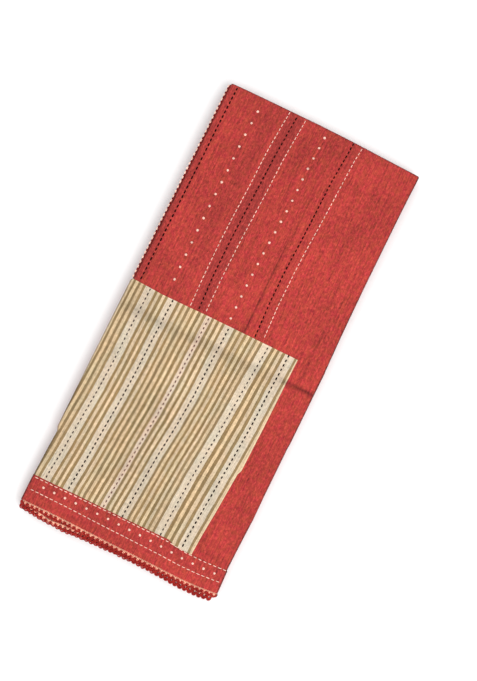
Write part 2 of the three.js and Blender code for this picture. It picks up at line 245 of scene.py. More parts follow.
def creases(u, v):
    """How far the creases and soft folds press in, and how much darker or lighter the cloth is painted:
    painted shade in the creases with some soil, and broad painted shade and light.
    """
    depth = np.zeros(np.broadcast(u, v).shape)
    soil = np.zeros(depth.shape)
    for number, (runs, at, low, high, deep, width, slant, wander, soiled) in enumerate(CREASES):
        place, off = (u, v) if runs == "across" else (v, u)
        along = (place - low) / (high - low) - 0.5
        middle = at + slant * along + wander * soft_noise(place, 0, WANDER_CELL, 1, 40 + number)
        fade = ease(place, low, low + CREASE_FADE) - ease(place, high - CREASE_FADE, high)
        uneven = 1 + UNEVEN * soft_noise(place, 0, UNEVEN_CELL, 1, 90 + number) if wander else 1
        reach = fade * uneven * bell(off - middle, width)
        depth = depth + deep * reach
        soil = soil + soiled * reach
    for at_u, at_v, across, down, amount in BROAD_SHADING:
        soil = soil + amount * bell(u - at_u, across) * bell(v - at_v, down)
    return depth, soil


def seam_relief(off, along, cloth):
    """The furrow that a row of stitches pulls in, with a pucker beside each stitch."""
    pucker = np.cos(2 * math.pi * along / PITCH[cloth])
    furrow = bell(off, FURROW_WIDTH) * (0.75 + 0.25 * pucker)
    return FURROW[cloth] * (0.3 * bell(abs(off) - RIDGE_PLACE, RIDGE_WIDTH) * pucker - furrow)


def relief(u, v):
    """What the stitches, the folding and the weave's slackness add to the packet's height."""
    u, v = np.broadcast_arrays(np.asarray(u, float), np.asarray(v, float))
    in_field = 1 - ease(v, *FIELD_END)
    in_band = ease(v - band_top(u), -1, 2)
    in_patch = ease(v, *PATCH_START) * (1 - in_band) * (1 - ease(u - patch_side(v), -2, 2))
    height = sum(rise * soft_noise(u, v, *cell) for rise, *cell in SLACK) - creases(u, v)[0]
    for row in FIELD.values():
        height = height + in_field * seam_relief(u - row(v), v, "field")
    for row in PATCH.values():
        height = height + in_patch * seam_relief(u - row(v), v, "patch")
    for name in ("upper", "lower"):
        height = height + in_band * seam_relief(v - BAND[name](u), u, "band")
    return height


def front_height(u, v):
    """The height of the front layer's outer face before it turns down at a fold."""
    inside = {
        "left": u - left_side(v),
        "right": right_side(v) - u,
        "head": v - head(u),
        "foot": front_foot(u) - v,
    }
    z = HEIGHT - sum(drop * np.exp(-inside[side] / reach) for side, drop, reach in THINNING)
    for at_u, at_v, rise, across, along in SWELLS:
        z = z + rise * bell(u - at_u, across) * bell(v - at_v, along)
    return z + relief(u, v)


def metres(u, v, z):
    return np.stack([u - CENTRE_U, CENTRE_V - v, z], axis=-1) / 1000


def front_point(u, v, offset):
    """Points on the front layer, or offset from it, with its turns at the left, right and head."""
    u, v, offset = np.broadcast_arrays(*(np.asarray(x, float) for x in (u, v, offset)))
    on_left = u < WIDTH / 2
    side = np.where(on_left, TURN["left"], TURN["right"])
    from_side = np.where(on_left, u - left_side(v), right_side(v) - u)
    turn_side = np.clip(1 - from_side / side, 0, 1)
    turn_head = np.clip(1 - (v - head(u)) / TURN["head"], 0, 1)
    both = (turn_side > 0) & (turn_head > 0)
    longest = np.maximum(np.hypot(turn_side, turn_head), 1e-9)
    shorten = np.where(both, np.maximum(turn_side, turn_head) / longest, 1)
    turn_side, turn_head = turn_side * shorten, turn_head * shorten
    from_left = left_side(v) + side * (1 - turn_side)
    from_right = right_side(v) - side * (1 - turn_side)
    u = np.where(both, np.where(on_left, from_left, from_right), u)
    v = np.where(both, head(u) + TURN["head"] * (1 - turn_head), v)
    upright = np.sqrt(np.clip(1 - turn_side**2 - turn_head**2, 0, 1))
    radius = np.maximum(side * (turn_side > 0), TURN["head"] * (turn_head > 0))
    z = front_height(u, v) - radius * (1 - upright) + offset * upright
    return metres(u + offset * turn_side * np.where(on_left, -1, 1), v - offset * turn_head, z)


# ---------------------------------------------------------------- Making meshes


def rim_of(grid):
    """A grid's outermost points, clockwise seen from above, from its head's left end."""
    return np.concatenate([grid[0, :-1], grid[:-1, -1], grid[-1, :0:-1], grid[:0:-1, 0]])


def grid_faces(index, upward):
    order = (index[:-1, :-1], index[1:, :-1], index[1:, 1:], index[:-1, 1:])
    return np.stack([part.ravel() for part in (order if upward else order[::-1])], axis=1)


def ring_faces(upper, lower):
    return np.stack([upper, np.roll(upper, -1), np.roll(lower, -1), lower], axis=1)


def add_object(name, data):
    """Puts a mesh, a lamp or a camera into the scene."""
    made = bpy.data.objects.new(name, data)
    bpy.context.scene.collection.objects.link(made)
    return made


def dress(piece, node=None):
    """Fixes a piece to the packet, and hides the CAD part of the node that it stands for."""
    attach(piece, "root")
    if node:
        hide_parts(node)


def new_piece(name, node, points, faces, material, places, attributes):
    """A piece that stands for a node. places are its points' places on the flat cloth, for the UV map."""
    mesh = bpy.data.meshes.new(name)
    mesh.from_pydata(points.tolist(), [], [list(face) for face in faces])
    mesh.update()
    layer = mesh.uv_layers.new(name="UVMap")
    corner_points = np.empty(len(mesh.loops), dtype=np.int32)
    mesh.loops.foreach_get("vertex_index", corner_points)
    layer.data.foreach_set("uv", places[corner_points].astype(np.float32).ravel())
    for key, values in attributes.items():
        layer = mesh.attributes.new(key, "FLOAT", "POINT")
        layer.data.foreach_set("value", values.astype(np.float32).ravel())
    mesh.shade_smooth()
    mesh.materials.append(material)
    dress(add_object(name, mesh), node)


def inward_steps(shape):
    """For each place of a grid's rim, the level direction that points under the packet."""
    step = np.zeros((*shape, 3))
    step[:, 0, 0] = 1
    step[:, -1, 0] = -1
    step[0, :, 1] -= 1
    step = rim_of(step)
    return step / np.maximum(np.linalg.norm(step, axis=1, keepdims=True), 1e-9)


# The rings down a hanging rim, under it and up inside it: share of the hang, and inset.
RIM_RINGS = ((0.45, 0.0), (0.8, 0.12), (1.0, 0.5), (1.02, 2.4), (0.82, 2.4), (0.8, 0.75), (0.5, 0.55))
RING_STEP = 0.12  # where the rim doesn't hang, each ring's step from the outer face to the inner one
# The rings also take this share of the rim's painted shade.
RING_SHARE = 0.3  # how much of the rim's soil and dye the rings have


def cloth_piece(node, u, v, outside, wall, material, hang, attributes, places=None):
    """One cloth as a closed shell: an outer grid, rings down its rim and an inner grid.

    outside is the outer face's offset from the front layer. hang gives how far each place of the rim
    hangs below the turn before it tucks under, and is 0 where the cloth just ends.
    """
    outer = front_point(u, v, outside)
    inner = front_point(u, v, outside - wall)
    rim_out, rim_in = rim_of(outer), rim_of(inner)
    drop = rim_of(np.broadcast_to(hang, u.shape)) / 1000
    hangs = (drop > 0)[:, None]
    away = inward_steps(u.shape)
    rings = []
    for number, (share, inset) in enumerate(RIM_RINGS, 1):
        hung = rim_out + away * (inset / 1000)
        hung[:, 2] = rim_out[:, 2] - drop * share
        rings.append(np.where(hangs, hung, rim_out + (rim_in - rim_out) * RING_STEP * number))
    count, around = u.size, len(rim_out)
    top = np.arange(count).reshape(u.shape)
    loops = [count + k * around + np.arange(around) for k in range(len(rings))]
    bottom = count + len(rings) * around + top
    chain = [rim_of(top), *loops, rim_of(bottom)]
    faces = [grid_faces(top, True)]
    faces += [ring_faces(upper, lower) for upper, lower in zip(chain, chain[1:])]
    faces.append(grid_faces(bottom, False))
    points = np.concatenate([outer.reshape(-1, 3), *rings, inner.reshape(-1, 3)])

    def spread(values, below=1.0):
        """A value for each point, from one for each place of the grid. below is the rings' share of it."""
        flat = values.reshape(count, -1)
        rim = rim_of(values).reshape(around, -1)
        return np.concatenate([flat, *[rim * below] * len(rings), flat])

    on_cloth = np.stack([u, -v], axis=-1) / 1000 if places is None else places
    extra = {key: spread(values, RING_SHARE) for key, values in attributes.items()}
    faces = np.concatenate(faces)
    new_piece(f"{node}_cloth", node, points, faces, material, spread(on_cloth), extra)


# ---------------------------------------------------------------- The cloths' grids

AROUND_SEAM = (-3.2, -1.6, -0.7, 0.0, 0.7, 1.6, 3.2)  # columns beside a row of stitches
AROUND_CREASE = (-1.8, -0.7, 0, 0.7, 1.8)
CREASE_CLEAR = 2.2  # other columns stay this far from a fine crease
COLUMN_SPACING = {"field": 4.6, "patch": 4.2}
TURN_SHARES = np.array((0.0, 0.05, 0.15, 0.33, 0.62, 1.0))  # columns round a turn
FIELD_COLUMNS = (0.3, 258.4)  # the front layer's first and last column at its head
FIELD_FOOT = 569.0  # its last row
PATCH_COLUMNS = (-1.9, 221.6)
PATCH_ROWS = (273.9, 535.6)
UNDER_BAND = 0.4  # how far the patch reaches under the band


def stations(low, high, spacing, near):
    """Places from low to high, about a spacing apart, with more of them around each place of near."""
    places = list(np.linspace(low, high, max(2, round((high - low) / spacing) + 1)))
    extra = [place + step for place in near for step in AROUND_SEAM]
    extra = [place for place in extra if low < place < high]
    kept = [p for p in places[1:-1] if all(abs(p - e) > spacing * 0.35 for e in extra)]
    return sorted([places[0], places[-1], *kept, *extra])


def turn_columns(side, at):
    """Columns round the turn at the left or the right side, from left to right."""
    steps = TURN_SHARES * TURN[side]
    return at + steps if side == "left" else at - steps[::-1]


def between_ends(first, columns, last):
    """The columns of a grid, with those of its two sides in place of the ones there."""
    return np.array([*first, *[c for c in columns if first[-1] + 0.5 < c < last[0] - 0.5], *last])


def grid_on_lines(columns, downs, keys, lines, bend):
    """A grid whose columns follow lines down the cloth. bend moves its rows to the cloth's own ends."""

    def across(column, v):
        return np.interp(column, keys, [each(v) for each in lines])

    u = np.stack([across(columns, v) for v in downs])
    v = bend(u, np.broadcast_to(downs[:, None], u.shape))
    u = np.stack([[across(column, place) for place in v[:, c]] for c, column in enumerate(columns)], 1)
    return u, v


def front_grid():
    """The front layer's places: columns follow its rows of stitches, rows follow its head and foot."""
    rows_down = sorted([*FIELD.values(), *KNOTS.values()], key=lambda row: row(0))
    low, high = FIELD_COLUMNS
    columns = stations(low, high, COLUMN_SPACING["field"], [row(0) for row in FIELD.values()])
    columns = [c for c in columns if all(abs(c - fine) > CREASE_CLEAR for fine in FINE_CREASES)]
    columns = sorted([*columns, *[fine + step for fine in FINE_CREASES for step in AROUND_CREASE]])
    columns = between_ends(turn_columns("left", low), columns, turn_columns("right", high))
    turned = TURN_SHARES[:-1] * TURN["head"]
    above = np.arange(TURN["head"], 278, PITCH["field"] / 3)  # three rows to a stitch
    downs = np.array([*turned, *above, *np.linspace(281, FIELD_FOOT, 97)])
    keys = [low, *[row(0) for row in rows_down], high]
    level_from, level_to = 30, 542  # between these the rows run straight across

    def bend(u, down):
        v = down + head(u) * (1 - ease(down, 8, level_from))
        return v + (front_foot(u) - FIELD_FOOT) * ease(down, level_to, FIELD_FOOT)

    return grid_on_lines(columns, downs, keys, [left_side, *rows_down, right_side], bend)


def patch_cloth_place(u, v):
    """A place of the patch measured on its own cloth, across its stripes."""
    margin = 40

    def places_at(down):
        lines = [float(row(down)) for row in PATCH.values()]
        return [lines[0] - margin, *lines, lines[-1] + margin]

    at_head = places_at(PATCH_V[0])
    flat = [np.interp(across, places_at(down), at_head) for across, down in zip(u.ravel(), v.ravel())]
    return np.array(flat).reshape(u.shape)


def patch_grid():
    """The striped patch's places: columns follow its rows of stitches."""
    low, high = PATCH_COLUMNS
    at_head = [row(PATCH_V[0]) for row in PATCH.values()]
    edge = [high - step for step in (5.2, 4.6, 1.6, 0.7, 0.3, 0.08, 0.0)]
    columns = stations(low, high, COLUMN_SPACING["patch"], at_head)
    columns = between_ends(turn_columns("left", low), columns, edge)
    first, last = PATCH_ROWS
    edge_rows = [first, 273.98, 274.2, 274.6, 275.4, 277.0, 278.8, 279.4]
    middle = np.arange(281, 532, PITCH["patch"] / 3)  # three rows to a stitch
    downs = np.array([*edge_rows, *middle, 533.2, 534.6, last])
    level_from, level_to = 300, 505  # between these the rows run straight across

    def bend(u, down):
        v = down + (patch_head(u) - first) * (1 - ease(down, 276, level_from))
        return v + (band_top(u) + UNDER_BAND - last) * ease(down, level_to, last)

    keys, lines = [low, *at_head, high], [left_side, *PATCH.values(), patch_side]
    return grid_on_lines(columns, downs, keys, lines, bend)


def band_grid():
    """The border band's places: rows follow its top, its stitches, its knots and the packet's foot."""
    middle = np.arange(3.2, 253.2, PITCH["band"] / 3)  # three columns to a stitch
    columns = np.array([*turn_columns("left", 0.0), *middle, *turn_columns("right", WIDTH)])
    keys = (0.0, 2.5, 9.5, 17.0, 32.0)  # where those lines lie among the rows
    downs = (0.0, 0.08, 0.3, 0.8, 1.6, 2.0, 2.5, 3.1, 4.1, 5.6, 7.5, 9.5, 11.5, 13.3, 15.0, 16.0, 16.6,
             17.0, 17.5, 18.3, 20.0, 22.0, 24.5, 27.0, 29.0, 30.5, 31.4, 31.8, 32.0)
    lines = (band_top, *BAND.values(), front_foot)
    v = np.stack([np.interp(downs, keys, [each(u) for each in lines]) for u in columns], 1)
    from_left, from_right = columns[None, :], WIDTH - columns[None, :]
    u = left_side(v) + (right_side(v) - left_side(v)) * from_left / WIDTH
    in_turns = (from_left < 2, from_right < 2.5)  # where a column keeps its distance from its side
    u = np.where(in_turns[0], left_side(v) + from_left, u)
    return np.where(in_turns[1], right_side(v) - from_right, u), v


def rounded_edge(distance, radius):
    """The share of its height that a cloth's edge has at a distance inside it."""
    share = np.clip(distance / radius, 0, 1)
    return np.sqrt(1 - (1 - share) ** 2)


# ---------------------------------------------------------------- Nodes and materials


class Nodes:
    """A node tree, with short ways to add nodes to it. An input takes a value or another node's output."""

    def __init__(self, tree):
        self.tree = tree

    def node(self, kind, inputs=None, **settings):
        made = self.tree.nodes.new(kind)
        for key, value in settings.items():
            setattr(made, key, value)
        for key, value in (inputs or {}).items():
            if isinstance(value, bpy.types.NodeSocket):
                self.tree.links.new(value, made.inputs[key])
            else:
                made.inputs[key].default_value = value
        return made

    def add(self, kind, inputs=None, output=0, **settings):
        """Adds a node and gives its output."""
        return self.node(kind, inputs, **settings).outputs[output]

    def maths(self, operation, first, second=0.0):
        return self.add("ShaderNodeMath", {0: first, 1: second}, operation=operation)

    def times(self, first, second):
        return self.maths("MULTIPLY", first, second)

    def plus(self, first, second):
        return self.maths("ADD", first, second)

    def less(self, first, second):
        return self.maths("SUBTRACT", first, second)

    def vector(self, **parts):
        return self.add("ShaderNodeCombineXYZ", parts)

    def scaled(self, source, scale, turn=0.0):
        """Coordinates from a source, multiplied along each axis."""
        inputs = {"Vector": source, "Scale": scale, "Rotation": (0.0, 0.0, turn)}
        return self.add("ShaderNodeMapping", inputs)

    def noise(self, place, scale, detail=2.0, roughness=0.5, distortion=0.0):
        settings = {"Scale": 1.0, "Detail": detail, "Roughness": roughness, "Distortion": distortion}
        return self.add("ShaderNodeTexNoise", {"Vector": self.scaled(place, scale), **settings}, "Fac")

    def spread_out(self, value, low, high, to_low, to_high):
        limits = {"From Min": low, "From Max": high, "To Min": to_low, "To Max": to_high}
        return self.add("ShaderNodeMapRange", {"Value": value, **limits})

    def mixed(self, factor, first, second, blend="MIX"):
        inputs = {0: factor, 6: first, 7: second}
        return self.add("ShaderNodeMix", inputs, 2, data_type="RGBA", blend_type=blend)

    def uneven_tone(self, place, layers):
        """How light a cloth is, around 1, and the noises that make it so.

        layers has a row for each noise: its scale, detail, roughness, distortion and amount.
        """
        tone, noises = 1.0, []
        for scale, detail, roughness, distortion, amount in layers:
            noises.append(self.noise(place, scale, detail, roughness, distortion))
            tone = self.plus(tone, self.spread_out(noises[-1], 0.3, 0.7, -amount, amount))
        return tone, noises


def rgba(colour):
    return (*colour, 1.0)


def new_material(name):
    """A new material, its nodes and its shader."""
    material = bpy.data.materials.new(name)
    material.use_nodes = True
    tree = material.node_tree
    return material, Nodes(tree), next(n for n in tree.nodes if n.type == "BSDF_PRINCIPLED")


def paint(nodes, shader, colour, tone):
    """Gives the shader a colour, lighter or darker by tone."""
    shade = nodes.add("ShaderNodeCombineColor", {0: tone, 1: tone, 2: tone})
    nodes.tree.links.new(nodes.mixed(1.0, colour, shade, "MULTIPLY"), shader.inputs["Base Color"])


def raise_surface(nodes, shader, height, strength, distance):
    inputs = {"Height": height, "Strength": strength, "Distance": distance}
    nodes.tree.links.new(nodes.add("ShaderNodeBump", inputs), shader.inputs["Normal"])


WEAVE_PITCH = {"red": 0.00052, "striped": 0.0006}  # metres from one thread to the next


def raise_weave(nodes, shader, place, pitch, warp, weft, distance):
    """The over-and-under of warp and weft, pitch metres apart, and the threads' own unevenness."""
    split = nodes.node("ShaderNodeSeparateXYZ", {0: place}).outputs
    waves = [nodes.maths("SINE", nodes.times(split[k], math.pi / pitch)) for k in (0, 1)]
    raised = nodes.times(nodes.times(*waves), 0.5)
    for threads, share in ((warp, 1.3), (weft, 0.8)):
        raised = nodes.plus(raised, nodes.times(threads, share))
    raise_surface(nodes, shader, raised, 0.7, distance)


def soiled(nodes, tone):
    """Darkens a tone by the piece's attribute of painted shade and soil, and lightens it as painted light
    where that is below 0.
    """
    soil = nodes.add("ShaderNodeAttribute", None, "Fac", attribute_name="soil")
    return nodes.times(tone, nodes.less(1.0, soil))


def finish(shader, roughness, specular, sheen=0.0, sheen_tint=(1.0, 1.0, 1.0)):
    for key, value in {
        "Roughness": roughness, "Specular IOR Level": specular, "Sheen Weight": sheen,
        "Sheen Roughness": 0.45, "Sheen Tint": rgba(sheen_tint),
    }.items():
        shader.inputs[key].default_value = value


def red_handloom(colours):
    """Red handloom cotton: uneven slubs along and across it, a plain weave and deeper dyed bands, with
    painted shade and painted light from its attributes.
    """
    material, nodes, shader = new_material("red_handloom")
    place = nodes.add("ShaderNodeUVMap", uv_map="UVMap")
    tone, (warp, weft, mottle, *_) = nodes.uneven_tone(place, (
        ((850, 75, 1), 3.0, 0.6, 0.4, 0.24),
        ((60, 820, 1), 3.0, 0.6, 0.3, 0.07),
        ((430, 250, 1), 4.0, 0.65, 0.6, 0.34),
        ((420, 9, 1), 3.0, 0.6, 0.2, 0.2),
        ((16, 11, 1), 3.0, 0.6, 0.0, 0.14),
    ))
    slub = nodes.noise(place, (1500, 130, 1), 1.0, 0.4)
    tone = nodes.less(tone, nodes.spread_out(slub, 0.62, 0.76, 0.0, 0.35))
    dye_and_shade = nodes.add("ShaderNodeAttribute", None, "Fac", attribute_name="deep")
    # A deep value above 1 darkens the cloth further: painted shade at the turned rims and in the grooves
    # between leaves.
    tone = nodes.less(tone, nodes.spread_out(dye_and_shade, 1.0, 2.0, 0.0, 0.85))
    flecks = nodes.spread_out(nodes.noise(place, (150, 110, 1), 3.0, 0.7), 0.35, 0.65, 0.0, 1.0)
    base = nodes.mixed(flecks, rgba(colours.red), rgba(colours.warm_red))
    base = nodes.mixed(dye_and_shade, base, rgba(colours.deep_red))
    worn = nodes.mixed(nodes.spread_out(mottle, 0.5, 0.72, 0.0, 0.5), base, rgba(colours.pale_red))
    paint(nodes, shader, worn, soiled(nodes, tone))
    raise_weave(nodes, shader, place, WEAVE_PITCH["red"], warp, weft, 0.00022)
    finish(shader, 0.82, 0.22, 0.18, (1.0, 0.62, 0.55))
    return material


def stripe_stops(colours):
    """Where each stripe of the striped cloth starts, in millimetres, and its colour."""
    rng = np.random.default_rng(11)
    stops, place = [], -0.4

    def add(kind, colour):
        nonlocal place
        uneven = 0.09 if kind in ("dark", "light") else 0.03
        vary = 1 + rng.uniform(-uneven, uneven)
        tint = 1 + rng.uniform(-uneven, uneven) * np.array([0.1, 0.35, 1.0])
        stops.append((place, tuple(min(1.0, c * vary * t) for c, t in zip(colour, tint))))
        place += STRIPE_WIDTHS[kind] * 1.003

    for group in STRIPE_GROUPS:
        if isinstance(group, str):
            add(group, colours.wide_band if group == "wide" else colours.medium_band)
            continue
        for k in range(group):
            add("dark", colours.dark_stripe)
            if k < group - 1:
                add("light", colours.light_stripe)
    stops.append((place - 0.6, tuple(colours.light_stripe)))
    stops[0] = (0.2, stops[0][1])
    return [(-9.0, tuple(colours.light_stripe)), *stops]


def stripe_ramps(nodes, across, stops):
    """The stripes' colours, on three colour ramps side by side, as one ramp takes 32 colours at most."""
    share = math.ceil(len(stops) / 3)
    colour = None
    for first in range(0, len(stops), share):
        own = stops[first : first + share]
        low, high = own[0][0], own[-1][0] + 14
        reach = nodes.spread_out(across, low / 1000, high / 1000, 0, 1)
        made = nodes.node("ShaderNodeValToRGB", {0: reach})
        ramp = made.color_ramp
        ramp.interpolation = "CONSTANT"
        ramp.elements[0].color = rgba(own[0][1])
        ramp.elements.remove(ramp.elements[1])
        for at, dye in own[1:]:
            ramp.elements.new((at - low) / (high - low)).color = rgba(dye)
        past = nodes.maths("GREATER_THAN", across, low / 1000)
        colour = nodes.mixed(past, colour, made.outputs[0]) if colour else made.outputs[0]
    return colour


def striped_handloom(colours):
    """Cream and brown striped handloom cotton. The stripes run down the cloth's own warp."""
    material, nodes, shader = new_material("striped_handloom")
    place = nodes.add("ShaderNodeUVMap", uv_map="UVMap")
    wobble = nodes.spread_out(nodes.noise(place, (260, 60, 1), 3.0, 0.6), 0.3, 0.7, -0.00028, 0.00028)
    fray = nodes.spread_out(nodes.noise(place, (1800, 1800, 1), 1.0), 0.2, 0.8, -0.00022, 0.00022)
    across = nodes.add("ShaderNodeSeparateXYZ", {0: place})
    across = nodes.plus(across, nodes.plus(wobble, fray))
    colour = stripe_ramps(nodes, across, stripe_stops(colours))
    tone, (warp, weft, *_) = nodes.uneven_tone(place, (
        ((1100, 26, 1), 3.0, 0.6, 0.3, 0.2),
        ((30, 900, 1), 3.0, 0.6, 0.3, 0.1),
        ((420, 230, 1), 4.0, 0.65, 0.6, 0.2),
        ((14, 9, 1), 3.0, 0.6, 0.0, 0.09),
    ))
    cooler = nodes.spread_out(nodes.noise(place, (60, 34, 1)), 0.4, 0.65, 0.0, 0.7)
    stained = nodes.mixed(cooler, colour, nodes.mixed(1.0, colour, (0.9, 1.0, 1.04, 1), "MULTIPLY"))
    # The patch's attribute darkens and lightens it: painted shade, painted highlights and soil.
    paint(nodes, shader, stained, soiled(nodes, tone))
    raise_weave(nodes, shader, place, WEAVE_PITCH["striped"], warp, weft, 0.00024)
    finish(shader, 0.86, 0.22, 0.12, (1.0, 0.93, 0.82))
    return material


def thread_material(name, colour):
    """Twisted cotton thread: slanting plies, and a colour that changes a little from place to place."""
    material, nodes, shader = new_material(name)
    place = nodes.add("ShaderNodeTexCoord", None, "Object")
    wave = {"Scale": 620.0, "Distortion": 0.6, "Detail": 1.0}
    wave["Vector"] = nodes.scaled(place, (1, 1, 1), 0.7)
    plies = nodes.add("ShaderNodeTexWave", wave, "Fac")
    tone, _ = nodes.uneven_tone(place, (
        ((900, 900, 900), 2.0, 0.5, 0.0, 0.08),
        ((70, 70, 70), 2.0, 0.5, 0.0, 0.16),
    ))
    # Darker in the grooves between the plies: painted shade.
    tone = nodes.plus(tone, nodes.spread_out(plies, 0.0, 0.4, -0.15, 0.03))
    paint(nodes, shader, rgba(colour), tone)
    raise_surface(nodes, shader, plies, 0.8, 0.0002)
    finish(shader, 0.7, 0.06)
    return material


def floor_material(colours):
    """A pale floor, a very little cloudy."""
    material, nodes, shader = new_material("pale_floor")
    place = nodes.add("ShaderNodeTexCoord", None, "Object")
    cloud = nodes.spread_out(nodes.noise(place, (3, 3, 3)), 0.0, 1.0, 0.995, 1.005)
    paint(nodes, shader, rgba(colours.floor), cloud)
    finish(shader, 0.9, 0.1)
    return material


def material_named(name, maker, *values):
    """A material that several pieces share is made once."""
    return bpy.data.materials.get(name) or maker(*values)


def red_cloth(context):
    return material_named("red_handloom", red_handloom, context.scene.saree_colours)


def thread(context, name):
    """A thread's material by its colour's name."""
    colour = getattr(context.scene.saree_colours, name)
    return material_named(f"{name}_thread", thread_material, f"{name}_thread", colour)


# ---------------------------------------------------------------- Geometry Nodes for what repeats

SHARED_INPUTS = (
    ("Pitch", "Float", 0.006, "From one to the next along the line"),
    ("Turn", "Float", 0.1, "The most that one is turned at random, in radians"),
    ("Uneven", "Float", 0.1, "The most that one's size differs, as a share"),
    ("Seed", "Int", 1, "Fixes what is random"),
    ("Material", "Material", None, "The finish of the result"),
)


def new_tree(name, *inputs):
    """A geometry tree with a line of points coming in and named inputs for its sizes."""
    tree = bpy.data.node_groups.new(name, "GeometryNodeTree")
    tree.interface.new_socket("Line", in_out="INPUT", socket_type="NodeSocketGeometry")
    for label, kind, value, words in (*SHARED_INPUTS, *inputs):
        socket = tree.interface.new_socket(label, in_out="INPUT", socket_type=f"NodeSocket{kind}")
        socket.description = words
        if value is not None:
            socket.default_value = value
    tree.interface.new_socket("Made", in_out="OUTPUT", socket_type="NodeSocketGeometry")
    nodes = Nodes(tree)
    return nodes, nodes.node("NodeGroupInput").outputs


def place_along(nodes, given, *shapes):
    """Puts shapes along the line at every pitch, their X axis along the line, and makes them real."""
    shape = nodes.node("GeometryNodeJoinGeometry")
    for part in shapes:
        nodes.tree.links.new(part, shape.inputs[0])
    curve = nodes.add("GeometryNodeMeshToCurve", {0: given["Line"]})
    spaced = {"Curve": curve, "Length": given["Pitch"]}
    points = nodes.node("GeometryNodeCurveToPoints", spaced, mode="LENGTH").outputs
    facing = nodes.add("FunctionNodeAlignRotationToVector", {"Vector": points["Tangent"]}, axis="X")
    back = nodes.times(given["Turn"], -1.0)
    turn = nodes.add("FunctionNodeRandomValue", {2: back, 3: given["Turn"], "Seed": given["Seed"]}, 1)
    spin = nodes.add("FunctionNodeEulerToRotation", {0: nodes.vector(Z=turn)})
    turned = nodes.add("FunctionNodeRotateRotation", {0: facing, 1: spin}, rotation_space="LOCAL")
    least = nodes.less(1.0, given["Uneven"])
    most = nodes.plus(1.0, given["Uneven"])
    limits = {0: nodes.vector(X=least, Y=least, Z=0.9), 1: nodes.vector(X=most, Y=most, Z=1.1)}
    other_seed = nodes.plus(given["Seed"], 7.0)
    size = nodes.add("FunctionNodeRandomValue", {**limits, "Seed": other_seed}, data_type="FLOAT_VECTOR")
    copies = {"Points": points[0], "Instance": shape.outputs[0], "Rotation": turned, "Scale": size}
    placed = nodes.add("GeometryNodeInstanceOnPoints", copies)
    smooth = nodes.add("GeometryNodeSetShadeSmooth", {0: placed})
    real = nodes.add("GeometryNodeRealizeInstances", {0: smooth})
    done = nodes.add("GeometryNodeSetMaterial", {0: real, "Material": given["Material"]})
    nodes.node("NodeGroupOutput", {0: done})
    return nodes.tree


def tube(nodes, curve, thickness, sides, taper=None):
    """A closed thread along a curve. taper is the share of its thickness that its ends have."""
    radius = nodes.times(thickness, 0.5)
    profile = nodes.add("GeometryNodeCurvePrimitiveCircle", {"Resolution": sides, "Radius": radius})
    inputs = {"Curve": curve, "Profile Curve": profile, "Fill Caps": True}
    if taper is not None:
        share = nodes.add("GeometryNodeSplineParameter", None, "Factor")
        rest = nodes.less(1.0, share)
        hump = nodes.times(nodes.times(share, rest), 4.0)
        inputs["Scale"] = nodes.plus(nodes.times(hump, 1 - taper), taper)
    return nodes.add("GeometryNodeCurveToMesh", inputs)


def bow(nodes, width, depth, steps, axis, bulge, lift=0.0):
    """A bow from foot to foot, depth away along an axis. bulge is its handles' share of the width."""
    half = nodes.times(width, 0.5)
    wide = nodes.times(half, bulge)
    handle = {axis: nodes.times(depth, 1.3333)}  # a handle is 4/3 as far off as the curve
    places = {
        "Start": nodes.vector(X=nodes.times(half, -1.0), Z=lift),
        "Start Handle": nodes.vector(X=nodes.times(wide, -1.0), **handle),
        "End Handle": nodes.vector(X=wide, **handle),
        "End": nodes.vector(X=half, Z=lift),
    }
    return nodes.add("GeometryNodeCurvePrimitiveBezierSegment", {"Resolution": steps, **places})


def running_stitch():
    """One stitch is a short thread that comes up out of the cloth and goes back in."""
    nodes, given = new_tree(
        "running_stitch",
        ("Stitch Length", "Float", 0.003, "The thread that shows"),
        ("Thread", "Float", 0.0012, "The thread's thickness"),
        ("Rise", "Float", 0.0006, "How far the thread stands off the cloth"),
    )
    course = bow(nodes, given["Stitch Length"], given["Rise"], 7, "Z", 0.8, -0.0007)
    return place_along(nodes, given, tube(nodes, course, given["Thread"], 7, 0.72))


def thread_knot():
    """One knot is two wraps of thread round a low middle."""
    nodes, given = new_tree(
        "thread_knot",
        ("Knot Width", "Float", 0.0037, "Across the knot"),
        ("Thread", "Float", 0.0011, "The thread's thickness"),
    )

    def raised(shape, lift, lean=0.0, tip=0.0):
        """A shape moved up by a share of the thread's thickness, and tilted."""
        up = nodes.vector(Z=nodes.times(given["Thread"], lift))
        turn = nodes.add("FunctionNodeEulerToRotation", {0: (lean, tip, 0.0)})
        return nodes.add("GeometryNodeTransform", {0: shape, "Translation": up, "Rotation": turn})

    outer = nodes.times(nodes.less(given["Knot Width"], given["Thread"]), 0.5)
    parts = []
    for share, lift, lean in ((1.0, 0.2, 0.1), (0.62, 0.75, -0.35)):
        radius = nodes.times(outer, share)
        ring = nodes.add("GeometryNodeCurvePrimitiveCircle", {"Resolution": 13, "Radius": radius})
        parts.append(raised(tube(nodes, ring, given["Thread"], 7), lift, lean, 0.12))
    radius = nodes.times(given["Thread"], 0.85)
    middle = nodes.add("GeometryNodeMeshUVSphere", {"Segments": 9, "Rings": 5, "Radius": radius})
    return place_along(nodes, given, *parts, raised(middle, 0.7))


